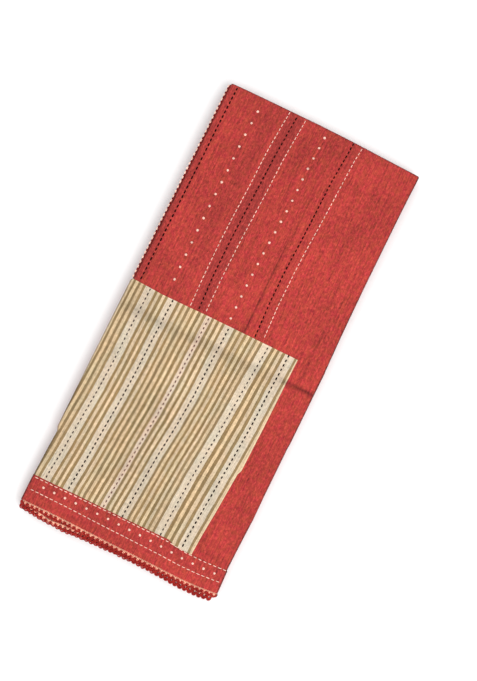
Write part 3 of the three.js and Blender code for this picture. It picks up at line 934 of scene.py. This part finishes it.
def crocheted_picot():
    """One picot is a round loop of thread, with a smaller one inside it."""
    nodes, given = new_tree(
        "crocheted_picot",
        ("Loop Width", "Float", 0.005, "Across the loop at its root"),
        ("Loop Depth", "Float", 0.005, "How far the loop stands out"),
        ("Thread", "Float", 0.0012, "The thread's thickness"),
        ("Inner Loop", "Float", 0.5, "The inner loop's share of the outer one's size"),
        ("Steps", "Int", 8, "How many straight stretches the outer loop has"),
    )
    width, thick, steps = given["Loop Width"], given["Thread"], given["Steps"]
    out = nodes.times(given["Loop Depth"], -1.0)
    outer = tube(nodes, bow(nodes, width, out, steps, "Y", 1.25), thick, 5)
    width, out = (nodes.times(size, given["Inner Loop"]) for size in (width, out))
    thick, steps = nodes.times(thick, 1.25), nodes.times(steps, 0.6)
    inner = tube(nodes, bow(nodes, width, out, steps, "Y", 1.25), thick, 5)
    return place_along(nodes, given, outer, inner)


def repeat_along(name, lines, maker, sizes, material, node=None):
    """Runs a tree along one or more lines of points, and keeps the result as a plain mesh."""
    points = np.concatenate(lines)
    ends = np.cumsum([len(each) for each in lines])
    edges = [(k, k + 1) for k in range(len(points) - 1) if k + 1 not in ends]
    mesh = bpy.data.meshes.new(f"{name}_line")
    mesh.from_pydata(points.tolist(), edges, [])
    guide = add_object(mesh.name, mesh)
    tree = bpy.data.node_groups.get(maker.__name__) or maker()
    modifier = guide.modifiers.new("repeat", "NODES")
    modifier.node_group = tree
    ids = {item.name: item.identifier for item in tree.interface.items_tree if item.in_out == "INPUT"}
    for label, value in {**sizes, "Material": material}.items():
        modifier[ids[label]] = value
    depsgraph = bpy.context.evaluated_depsgraph_get()
    made = bpy.data.meshes.new_from_object(guide.evaluated_get(depsgraph), depsgraph=depsgraph)
    made.name = name
    bpy.data.objects.remove(guide)
    bpy.data.meshes.remove(mesh)
    if len(made.polygons) == 0:
        raise RuntimeError(f"{name}: the tree made no faces")
    dress(add_object(name, made), node)


# ---------------------------------------------------------------- What a user can change


def colour_property(name, description, default):
    return FloatVectorProperty(
        name=name, description=description, default=default, subtype="COLOR", size=3, min=0.0, max=1.0
    )


def length_property(name, description, default):
    return FloatProperty(
        name=name, description=description, default=default, min=0.0001, unit="LENGTH", precision=4
    )


class SareeSizes(PropertyGroup):
    """Sizes of the stitching and the edging."""

    stitch_pitch: length_property("Stitch pitch", "From one running stitch to the next", 0.00607)
    stitch_length: length_property("Stitch length", "The length of one running stitch", 0.0032)
    thread: length_property("Thread", "The thickness of the stitching thread", 0.0012)
    knot_width: length_property("Knot width", "Across one knot", 0.0032)
    picot_pitch: length_property("Picot pitch", "From one picot of the edging to the next", 0.0061)
    picot_depth: length_property("Picot depth", "How far a picot stands out from the cloth", 0.0046)
    leaves: IntProperty(
        name="Leaves", description="Folded layers that show at the sides", default=13, min=4, max=40
    )


class SareeColours(PropertyGroup):
    """Colours of the cloths and threads."""

    red: colour_property("Red", "The handloom cloth", (0.402, 0.0277, 0.0321))
    warm_red: colour_property("Warm red", "Flecks of the cloth that took less dye", (0.384, 0.0473, 0.0259))
    # Mixed in by the deep attribute: the cloth's darker dyed bands, and painted shade along the hem, at the
    # turned rims and in the grooves between leaves.
    deep_red: colour_property("Deep red", "The cloth's darker bands", (0.314, 0.0304, 0.0259))
    pale_red: colour_property("Pale red", "Worn and slubbed threads of the cloth", (0.5, 0.0607, 0.05))
    dark_stripe: colour_property("Dark stripe", "The patch's brown stripes", (0.267, 0.173, 0.0777))
    light_stripe: colour_property("Light stripe", "Between the brown stripes", (0.619, 0.455, 0.287))
    wide_band: colour_property("Wide band", "The patch's pale bands", (0.6, 0.482, 0.356))
    medium_band: colour_property("Medium band", "The patch's pinkish band", (0.639, 0.48, 0.362))
    cream: colour_property("Cream thread", "Stitches and knots", (1, 0.66, 0.54))
    black: colour_property("Black thread", "Stitches", (0.01, 0.002, 0.002))
    rose: colour_property("Rose thread", "Stitches on the pinkish band", (0.1, 0.022, 0.022))
    dusky: colour_property("Dusky thread", "Stitches on the outer pale bands", (0.022, 0.01, 0.012))
    edging_cream: colour_property("Edging cream", "The edging's chain and teeth", (1, 0.5, 0.35))
    edging_red: colour_property("Edging red", "The edging's loops", (0.41, 0.028, 0.022))
    # A darker copy of the edging red, as painted shade on the pallu's loops.
    edging_maroon: colour_property("Edging maroon", "The loops on the pallu's end", (0.21, 0.012, 0.01))
    # A darker copy of the edging red, as painted shade on the loops behind the front row.
    edging_dark: colour_property("Edging dark", "Loops behind the front row", (0.1, 0.008, 0.008))
    floor: colour_property("Floor", "The plain floor", (0.9, 0.9, 0.9))


# ---------------------------------------------------------------- One operator for each piece


def worn_rim(u, v):
    """How much painted shade the cloth has where it turns down: 1.6 at the turn's outside and 0 from 2.6 mm
    in.
    """
    inside = np.minimum(np.minimum(u - left_side(v), right_side(v) - u), v - head(u))
    return 1.6 * (1 - ease(inside, 0.9, 2.6))


class SAREE_OT_front_layer(Operator):
    """Makes the red front layer, which turns down at the left, the right and the head"""

    bl_idname = "saree.front_layer"
    bl_label = "Front layer"

    def execute(self, context):
        u, v = front_grid()
        under_patch = ease(v - patch_head(u), 1.2, 4) * (1 - ease(u - patch_side(v), -4, -1.2))
        under_band = ease(v - band_top(u), 1.2, 4) * (1 - ease(v - front_foot(u), -5, -1))
        sunk = -SUNK * np.maximum(under_patch, under_band)

        def between(left, right):
            return ease(u - FIELD[left](v), 0, 2) - ease(u - FIELD[right](v), -2, 0)

        bands = between("cream_left", "cream_middle") + 0.35 * between("black_right", "cream_right")
        # The hem's strip is painted darker: painted shade.
        hem = 0.75 * (1 - ease(u, 7.5, 9))
        deep = np.clip(bands + hem, 0, 1) * (1 - ease(v, 272, 276))
        # Darker down a broad strip near u = 58, and darkest at the turned rims: painted shade.
        deep = np.maximum(deep + 0.3 * bell(u - 58, 13) * (1 - deep), worn_rim(u, v))
        hang = np.full(u.shape, HANG)
        hang[-1, :] = 0
        cloth_piece("front_layer", u, v, sunk, CLOTH, red_cloth(context), hang,
                    {"deep": deep, "soil": creases(u, v)[1]})
        return {"FINISHED"}


class SAREE_OT_striped_patch(Operator):
    """Makes the striped patch, with its turned edges, on the front layer"""

    bl_idname = "saree.striped_patch"
    bl_label = "Striped patch"

    def execute(self, context):
        u, v = patch_grid()
        edge = np.minimum(patch_side(v) - u, v - patch_head(u))
        turned = TURN_IN_RISE * (1 - ease(edge, *TURN_IN))
        outside = SEWN_EDGE + (PATCH_FACE - SEWN_EDGE + turned) * rounded_edge(edge, 0.6)
        on_cloth = np.stack([patch_cloth_place(u, v), -v], axis=-1) / 1000
        hang = np.zeros(u.shape)
        hang[1:-1, 0] = HANG
        # Lighter just inside the turned top and right edges, as a painted highlight, and darker at the left
        # turn, as painted shade, on top of the creases' painted shade and soil.
        soil = creases(u, v)[1] - 0.2 * (1 - ease(edge, 0.9, 1.9)) * ease(edge, 0.1, 0.5)
        soil = soil + 0.5 * (1 - ease(u - left_side(v), 0.6, 1.7))
        material = material_named("striped_handloom", striped_handloom, context.scene.saree_colours)
        cloth_piece("striped_patch", u, v, outside, outside - SEWN_UNDER, material, hang,
                    {"soil": soil}, on_cloth)
        return {"FINISHED"}


class SAREE_OT_border_band(Operator):
    """Makes the red band across the foot, a double cloth held by two rows of stitches"""

    bl_idname = "saree.border_band"
    bl_label = "Border band"

    def execute(self, context):
        u, v = band_grid()
        edge = np.minimum(v - band_top(u), front_foot(u) - v + 0.1)
        outside = SEWN_EDGE + (BAND_FACE - SEWN_EDGE) * rounded_edge(edge, 0.7)
        hang = np.zeros(u.shape)
        hang[1:-1, [0, -1]] = HANG
        deep = 0.12 + 0.2 * (ease(v - BAND["upper"](u), -1, 1) - ease(v - BAND["lower"](u), -1, 1))
        # Darkest at the turned rims: painted shade.
        deep = np.maximum(deep, worn_rim(u, v))
        # A dark line along the band's top edge: a painted shadow where the band meets the patch, with the
        # creases' painted shade and soil.
        soil = creases(u, v)[1] + 0.4 * bell(v - band_top(u) - 0.2, 0.7)
        cloth_piece("border_band", u, v, outside, outside - SEWN_UNDER, red_cloth(context), hang,
                    {"deep": deep, "soil": soil})
        return {"FINISHED"}


class SAREE_OT_second_layer(Operator):
    """Makes the second layer, whose edge shows below the front layer's foot"""

    bl_idname = "saree.second_layer"
    bl_label = "Second layer"

    def execute(self, context):
        near_foot, foot = 540, 574
        downs = [*np.linspace(4, near_foot, 60), *np.linspace(543, foot, 16)]
        across, down = np.meshgrid(np.linspace(0, 1, 60), downs)
        low, high = left_side(down) + SECOND_INSET[0], right_side(down) - SECOND_INSET[1]
        u = low + (high - low) * across
        v = down + (second_foot(u) - foot) * ease(down, near_foot, foot)
        below, hang, deep = (np.full(u.shape, value) for value in (-SECOND_DEPTH, 0.0, 0.5))
        cloth_piece("second_layer", u, v, below, CLOTH, red_cloth(context), hang, {"deep": deep})
        return {"FINISHED"}


STATION = 5.5  # between the hidden leaves' stations round the packet
CORNER = 3.0  # the radius of the packet's corners
LEAF_TOP = 2.4  # how far the leaves end below the front layer's outer face at the foot
# The second value is how dark the grooves between leaves are painted: painted shade.
GROOVES, GROOVE_SHADE = (3.4, 2.6), 1.9  # the grooves between leaves: depth at the foot and elsewhere
# The least and the most that a leaf's own edge stands back at each side.
LEAF_REACH = {
    "left": (0.1, 2.3),
    "right": (0.1, 2.5),
    "head": (0.1, 2.2),
    "foot": (0.3, 4.2),
    "corner": (1.0, 2.4),
}
# The rounded edge of a leaf from its lower side up: share of its height, inset, and its tone's share
# and the painted shade added near the grooves below and above it.
LEAF_EDGE = (
    (0.13, 0.55, 1, 0.5),
    (0.32, 0.1, 1, 0),
    (0.6, 0, 0.6, 0),
    (0.8, 0.15, 1, 0),
    (0.94, 0.7, 1, 0.6),
)

# The leaves' shell closes under the packet and at its middle: shares of the outline, and in metres
# how far the underside rises towards its middle and the height of the shell's middle.
UNDERSIDE_RINGS = (0.2, 0.4, 0.6, 0.8, 0.93, 0.985)
UNDERSIDE_RISE, LEAVES_MIDDLE = 0.00005, 0.0205


def packet_outline():
    """Stations round the packet, clockwise from the head's left: u, v, outward direction, and side."""

    def foot_at(u):
        return second_foot(u) - 1.0

    head_left, foot_left = (left_side(v) + CORNER for v in (3.0, 566.0))
    head_right, foot_right = (right_side(v) - CORNER for v in (3.0, 566.0))
    left_top, right_top = (head(u) + CORNER for u in (2, 254))
    left_low, right_low = (foot_at(u) - CORNER for u in (3, 252))
    found = []
    # A rounded corner, by its centre and the direction that it starts in, and the side after it.
    for centre, start, side, first, last, out, station_at in (
        ((head_left, left_top), 180, "head", head_left, head_right, (0, -1), lambda u: (u, head(u))),
        ((head_right, right_top), 90, "right", right_top, right_low, (1, 0), lambda v: (right_side(v), v)),
        ((foot_right, right_low), 0, "foot", foot_right, foot_left, (0, 1), lambda u: (u, foot_at(u))),
        ((foot_left, left_low), -90, "left", left_low, left_top, (-1, 0), lambda v: (left_side(v), v)),
    ):
        for turn in (0, 30, 60, 90):
            angle = math.radians(start - turn)
            away = (math.cos(angle), -math.sin(angle))
            found.append((*(c + CORNER * a for c, a in zip(centre, away)), *away, "corner"))
        step = math.copysign(STATION, last - first)
        stops = np.arange(first + step, last - math.copysign(2, step), step)
        found += [(*station_at(at), *out, side) for at in stops]
    table = np.array([row[:4] for row in found])
    return table[:, 0], table[:, 1], table[:, 2:4], [row[4] for row in found]


def leaf_rows(count):
    """The folded layers from the floor up: each one's lower and upper share of the height."""
    thick = np.random.default_rng(21).uniform(0.6, 1.4, count)
    marks = np.concatenate([[0], np.cumsum(thick) / thick.sum()])
    return list(zip(marks[:-1], marks[1:]))


def around_mean(values, times):
    """Values round the packet, each evened out with its neighbours."""
    for _ in range(times):
        values = (np.roll(values, 1, 0) + 2 * values + np.roll(values, -1, 0)) / 4
    return values


def stand_back(number, place, sides):
    """How far a leaf stands back from the packet's outline, at each station."""
    rng = np.random.default_rng(300 + number)
    own = {side: rng.uniform(*reach) for side, reach in LEAF_REACH.items()}
    base = np.array([own[side] for side in sides])
    wave = 0.5 + 0.5 * soft_noise(place, 0, 38, 1, 500 + number)
    amount = np.array([1.3 if side == "foot" else 0.7 for side in sides])
    return around_mean(base + wave * amount, 2)


def leaf_rings(leaves):
    """The rings round the hidden leaves from the floor up, and how dark each one is, with painted shade in
    the grooves.
    """
    u, v, out, sides = packet_outline()
    place = np.concatenate([[0], np.cumsum(np.hypot(np.diff(u), np.diff(v)))])
    foot = np.array([side == "foot" for side in sides])
    radius = np.array([TURN.get(side, TURN["right"]) for side in sides])
    rim_reach = HANG * max(share for share, _ in RIM_RINGS)
    low = np.where(foot, LEAF_TOP, radius + rim_reach + 0.05)
    shoulder = around_mean(front_height(u, np.minimum(v, front_foot(u) - 1)) - low, 1)
    groove_depth = np.where(foot, *GROOVES)
    rings, deep = [], []

    def add_ring(share, inset, tone, lift=0.0):
        height = shoulder * np.clip(share, 0, 1) + lift
        rings.append(metres(u - out[:, 0] * inset, v - out[:, 1] * inset, height))
        deep.append(np.full(len(u), tone))

    tones = np.random.default_rng(8).uniform(0.0, 0.8, leaves)
    before = stand_back(99, place, sides)
    for number, (start, stop) in enumerate(leaf_rows(leaves)):
        back = stand_back(number, place, sides)
        swell = 0.012 * soft_noise(place, 0, 29, 1, 700 + number) if number else 0
        # Each groove's ring is painted dark: painted shade.
        add_ring(start + swell, np.maximum(back, before) + groove_depth, GROOVE_SHADE)
        for share, inset, tone_share, added_shade in LEAF_EDGE:
            tone = tones[number] * tone_share + added_shade
            add_ring(start + share * (stop - start), back + inset, tone)
        before = back
    add_ring(1.0, 2.4, 0.6)  # the shell's top, under the front layer
    add_ring(1.0, 7.0, 0.6, 0.6)
    return rings, deep


class SAREE_OT_hidden_leaves(Operator):
    """Makes the folded layers underneath, whose rounded folds and edges show at the sides"""

    bl_idname = "saree.hidden_leaves"
    bl_label = "Hidden leaves"

    def execute(self, context):
        rings, deep = leaf_rings(context.scene.saree_sizes.leaves)
        under = []
        for shrink in UNDERSIDE_RINGS:
            panel = rings[0] * shrink
            panel[:, 2] = UNDERSIDE_RISE * (1 - shrink)
            under.append(panel)
        layers = [*under, *rings]
        around = len(rings[0])
        points = np.concatenate([[[0, 0, 0]], *layers, [[0, 0, LEAVES_MIDDLE]]])
        loops = [1 + k * around + np.arange(around) for k in range(len(layers))]
        walls = [ring_faces(upper, lower) for lower, upper in zip(loops, loops[1:])]
        faces = np.concatenate(walls).tolist()
        faces += [[0, int(a), int(b)] for a, b in zip(loops[0], np.roll(loops[0], -1))]
        faces += [[len(points) - 1, int(b), int(a)] for a, b in zip(loops[-1], np.roll(loops[-1], -1))]
        tone = np.concatenate([[0.3], *[np.full(around, 0.3)] * len(under), *deep, [0.5]])
        across = np.arange(around) * STATION / 1000
        steps = [np.hypot(*(b - a)[:, :2].T).mean() * 1000 + 0.2 for a, b in zip(rings, rings[1:])]
        wall = [np.stack([across, np.full(around, -rise / 1000)], 1) for rise in np.cumsum([0, *steps])]
        places = np.concatenate([[[0, 0]], *[panel[:, :2] for panel in under], *wall, [[0, 0]]])
        material = red_cloth(context)
        new_piece("hidden_leaves", "hidden_layers", points, faces, material, places, {"deep": tone})
        return {"FINISHED"}


STITCH_LIFT, KNOT_LIFT = 0.1, 0.2  # how far the threads' lines lie above the cloth


def row_points(row, low, high, spacing, lift, offset=0.0, across=False):
    """Points from low to high along a row that runs down the packet, or across it."""
    along = np.arange(low, high, spacing)
    u, v = (along, row(along)) if across else (row(along), along)
    return front_point(u, v, offset) + np.array([0, 0, lift / 1000])


class SAREE_OT_running_stitches(Operator):
    """Sews the rows of running stitch down the cloth, down the patch and across the band"""

    bl_idname = "saree.running_stitches"
    bl_label = "Running stitches"

    def execute(self, context):
        sizes = context.scene.saree_sizes
        pitch, length, width = sizes.stitch_pitch * 1000, sizes.stitch_length * 1000, sizes.thread * 1000

        def down(name, low, high=271.0):
            return row_points(FIELD[name], low, high, pitch / 2, STITCH_LIFT)

        def down_patch(name, low):
            return row_points(PATCH[name], low, 534.0, pitch / 2, STITCH_LIFT, PATCH_FACE)

        def over_band(name, low):
            return row_points(BAND[name], low, 252.5, PITCH["band"] / 2, STITCH_LIFT, BAND_FACE, True)

        creams = [down("cream_left", 3.0), down("cream_middle", 4.2), down("cream_right", 5.0, 268)]
        blacks = [down("black_left", 5.8), down("black_right", 3.4)]
        patch_blacks = [down_patch("black_1", 277), down_patch("black_2", 279), down_patch("black_3", 276)]
        duskies = [down_patch("dusky", 276.5), down_patch("grey", 278.5)]
        band = [over_band("upper", 2.5), over_band("lower", 4.0)]
        # Each piece's lines, its thread, and its stitches' pitch, length and thickness.
        pieces = {
            "cream_stitches": (creams, "cream", pitch, length + 0.3, width + 0.2),
            "black_stitches": (blacks, "black", pitch, length - 0.2, width + 0.95),
            "hem_stitches": ([down("hem", 4.0)], "black", 6.5, 3.1, width + 1.25),
            "patch_black_stitches": (patch_blacks, "black", PITCH["patch"], 2.5, width + 1.1),
            "patch_rose_stitches": ([down_patch("rose", 278)], "rose", PITCH["patch"], 2.4, width + 0.55),
            "patch_dusky_stitches": (duskies, "dusky", PITCH["patch"], 2.4, width + 0.7),
            "band_stitches": (band, "cream", PITCH["band"], length + 0.5, width + 0.15),
        }
        for seed, (name, (lines, colour, apart, long, thick)) in enumerate(pieces.items(), 1):
            stitches = {
                "Pitch": apart / 1000, "Turn": 0.07, "Uneven": 0.1, "Seed": seed,
                "Stitch Length": long / 1000, "Thread": thick / 1000, "Rise": 0.00055,
            }
            repeat_along(name, lines, running_stitch, stitches, thread(context, colour))
        return {"FINISHED"}


class SAREE_OT_knots(Operator):
    """Sews the rows of knots down the cloth and across the band"""

    bl_idname = "saree.knots"
    bl_label = "Knots"

    def execute(self, context):
        sizes = context.scene.saree_sizes
        width = sizes.knot_width
        left = row_points(KNOTS["left"], 19.0, 253.0, 1.0, KNOT_LIFT)
        right = row_points(KNOTS["right"], 11.9, 265.0, 1.0, KNOT_LIFT)
        band = row_points(BAND["knots"], 15.0, 243.0, 1.0, KNOT_LIFT, BAND_FACE, True)
        for name, row, pitch, across, seed in (
            ("left_knots", left, 16.56, width, 11),
            ("right_knots", right, 14.72, width, 12),
            ("band_knots", band, 14.1, width * 0.95, 13),
        ):
            knots = {
                "Pitch": pitch / 1000, "Turn": 3.0, "Uneven": 0.1, "Seed": seed,
                "Knot Width": across, "Thread": sizes.thread,
            }
            repeat_along(name, [row], thread_knot, knots, thread(context, "cream"))
        return {"FINISHED"}


def picots(width, depth, thick, inner, **more):
    """The sizes of one kind of picot, in metres, and its inner loop's share."""
    return {"Loop Width": width, "Loop Depth": depth, "Thread": thick, "Inner Loop": inner, **more}


class SAREE_OT_edgings(Operator):
    """Crochets the picot edgings on the front layer, the second layer, the pallu's end and the leaves"""

    bl_idname = "saree.edgings"
    bl_label = "Picot edgings"

    def execute(self, context):
        sizes = context.scene.saree_sizes
        pitch, depth = sizes.picot_pitch, sizes.picot_depth
        names = ("cream", "red", "maroon", "dark")
        cream, red, maroon, dark = (thread(context, f"edging_{name}") for name in names)
        loops = picots(0.0056, depth, 0.0016, 0.58, Steps=11)
        base = picots(0.005, depth * 0.8, 0.0016, 0.5)
        teeth = picots(0.0022, 0.0027, 0.0014, 0.45)
        chain = picots(0.0018, 0.0002, 0.0019, 0.3, Steps=3, Pitch=pitch / 3)
        fringe = picots(0.0048, 0.0034, 0.0011, 0.5, Steps=6)
        pallu_loops = picots(0.0042, 0.002, 0.0013, 0.4, Pitch=0.0032)
        beads = picots(0.0026, 0.0013, 0.0012, 0.3, Pitch=0.0064)

        def along_foot(row, low, high, offset, out=0.0):
            return row_points(lambda u: row(u) + out, low, high, 1.5, 0.0, offset, True)

        def tucked(u):
            """The second edging's chain is hidden under the first one's loops but for one stretch."""
            return second_foot(u) - 3.4 * (1 - bell(u - 38, 17))

        leaf_lines = []
        for number, (start, stop) in list(enumerate(leaf_rows(sizes.leaves)))[1::2]:
            along = np.arange(6.0 + number % 5, 247.0, 3.0)
            z = (front_height(along, front_foot(along) - 1) - LEAF_TOP) * (start + stop) / 2
            leaf_lines.append(metres(along, second_foot(along) - 3.2 - (number % 4) * 0.5, z))
        leaf_teeth = [each + (0.003, 0.0004, 0.0003) for each in leaf_lines]
        v = np.arange(*PALLU_END, 1.5)
        pallu = metres(left_side(v) + 0.1, v, front_height(left_side(v), v) - TURN["left"] - 0.2)
        bead_line = pallu + (-0.0014, 0, 0.0003)
        between = 1.2 + pitch * 500  # half a pitch on from the second row's first loop
        for name, lines, shape, material, seed, node in (
            ("front_edging_loops", along_foot(front_foot, 0.3, 253.5, 0.3, 0.2), loops, red, 21,
             "front_edging"),
            ("front_edging_teeth", along_foot(front_foot, 3.3, 253.0, 0.45, 0.1), teeth, cream, 22, None),
            ("front_edging_chain", along_foot(front_foot, 0.5, 254.5, 0.75, -0.2), chain, cream, 23, None),
            ("second_edging_loops", along_foot(second_foot, 1.2, 249.0, -1.7, 0.2), loops, red, 24,
             "second_edging"),
            # The base loops are a darker copy of the edging red: painted shade behind the front row of
            # loops.
            ("second_edging_base", along_foot(second_foot, between, 250.0, -1.9, 0.1), base, dark, 29,
             None),
            # Dark base loops: painted shade behind the front edging's loops.
            ("front_edging_base", along_foot(front_foot, between - 0.9, 254.0, 0.1, 0.1), base, dark, 30,
             None),
            ("leaf_edging_loops", leaf_lines, fringe, red, 31, None),
            ("leaf_edging_teeth", leaf_teeth, {**teeth, "Steps": 5}, cream, 32, None),
            ("second_edging_teeth", along_foot(tucked, 6.5, 249.0, -1.6, 0.1), teeth, cream, 25, None),
            ("second_edging_chain", along_foot(tucked, 3.0, 250.0, -1.5, -0.3), chain, cream, 26, None),
            # The pallu's loops take a darker copy of the edging red: painted shade.
            ("pallu_edging_loops", pallu, pallu_loops, maroon, 27, "pallu_edging"),
            ("pallu_edging_beads", bead_line, beads, thread(context, "cream"), 28, None),
        ):
            lines = [lines] if isinstance(lines, np.ndarray) else lines
            values = {"Pitch": pitch, "Turn": 0.1, "Uneven": 0.08, "Seed": seed, **shape}
            repeat_along(name, lines, crocheted_picot, values, material, node)
        return {"FINISHED"}


class SAREE_OT_cuts(Operator):
    """Does nothing; it changes nothing in the scene"""

    bl_idname = "saree.cuts"
    bl_label = "Cloths' cuts"

    def execute(self, context):
        return {"FINISHED"}


FLOOR_REACH, FLOOR_LEVEL = 3.0, -0.0004
# Each lamp's place, width and power.
LAMPS = {
    "key_light": ((0.8, -0.5, 1.7), 1.2, 19.0),
    "fill_light": ((-0.5, 0.2, 2.0), 1.8, 9.0),
}
ROOM_LIGHT = 0.785
CAMERA_PLACE = (0.0265, -0.1354, 1.3899)
CAMERA_TURN = (5.461, -2.291, 25.838)  # in degrees


class SAREE_OT_stage(Operator):
    """Sets a plain pale floor, soft light from all round and the camera above the packet"""

    bl_idname = "saree.stage"
    bl_label = "Stage"

    def execute(self, context):
        scene = context.scene
        mesh = bpy.data.meshes.new("floor")
        corners = [(-FLOOR_REACH, -FLOOR_REACH), (FLOOR_REACH, -FLOOR_REACH)]
        corners += [(FLOOR_REACH, FLOOR_REACH), (-FLOOR_REACH, FLOOR_REACH)]
        mesh.from_pydata([(x, y, FLOOR_LEVEL) for x, y in corners], [], [(0, 1, 2, 3)])
        mesh.materials.append(floor_material(scene.saree_colours))
        floor = add_object("floor", mesh)
        scene.world = bpy.data.worlds.new("soft_room")
        scene.world.use_nodes = True
        background = scene.world.node_tree.nodes["Background"]
        background.inputs[0].default_value = (1.0, 1.0, 1.0, 1.0)
        background.inputs[1].default_value = ROOM_LIGHT
        for name, (place, size, power) in LAMPS.items():
            lamp = bpy.data.lights.new(name, "AREA")
            lamp.shape = "DISK"
            lamp.size = size
            lamp.energy = power
            holder = add_object(name, lamp)
            holder.location = place
            aim = -np.array(place) / np.linalg.norm(place)
            holder.rotation_euler = (math.acos(-aim[2]), 0.0, math.atan2(aim[1], aim[0]) - math.pi / 2)
        lens = bpy.data.cameras.new("camera")
        lens.lens = 60.0
        lens.sensor_fit = "VERTICAL"
        lens.sensor_height = 36.0
        lens.clip_start = 0.01
        camera = add_object("camera", lens)
        camera.location = CAMERA_PLACE
        camera.rotation_euler = tuple(math.radians(turn) for turn in CAMERA_TURN)
        scene.camera = camera
        scene.view_settings.view_transform = "Standard"
        return {"FINISHED"}


STEPS = (
    SAREE_OT_front_layer,
    SAREE_OT_striped_patch,
    SAREE_OT_border_band,
    SAREE_OT_second_layer,
    SAREE_OT_hidden_leaves,
    SAREE_OT_running_stitches,
    SAREE_OT_knots,
    SAREE_OT_edgings,
    SAREE_OT_cuts,
    SAREE_OT_stage,
)


class SAREE_PT_panel(Panel):
    """Lists the saree's pieces and what can be changed on them"""

    bl_idname = "SAREE_PT_panel"
    bl_label = "Folded saree"
    bl_space_type = "VIEW_3D"
    bl_region_type = "UI"
    bl_category = "Saree"

    def draw(self, context):
        for step in STEPS:
            self.layout.operator(step.bl_idname)
        for group in (context.scene.saree_sizes, context.scene.saree_colours):
            for name in group.__annotations__:
                self.layout.prop(group, name)


CLASSES = (SareeSizes, SareeColours, *STEPS, SAREE_PT_panel)


def register():
    for item in CLASSES:
        bpy.utils.register_class(item)
    bpy.types.Scene.saree_sizes = PointerProperty(type=SareeSizes)
    bpy.types.Scene.saree_colours = PointerProperty(type=SareeColours)


def unregister():
    del bpy.types.Scene.saree_colours
    del bpy.types.Scene.saree_sizes
    for item in reversed(CLASSES):
        bpy.utils.unregister_class(item)


def main():
    register()
    for step in STEPS:
        group, name = step.bl_idname.split(".")
        getattr(getattr(bpy.ops, group), name)()


if __name__ == "__main__":
    main()
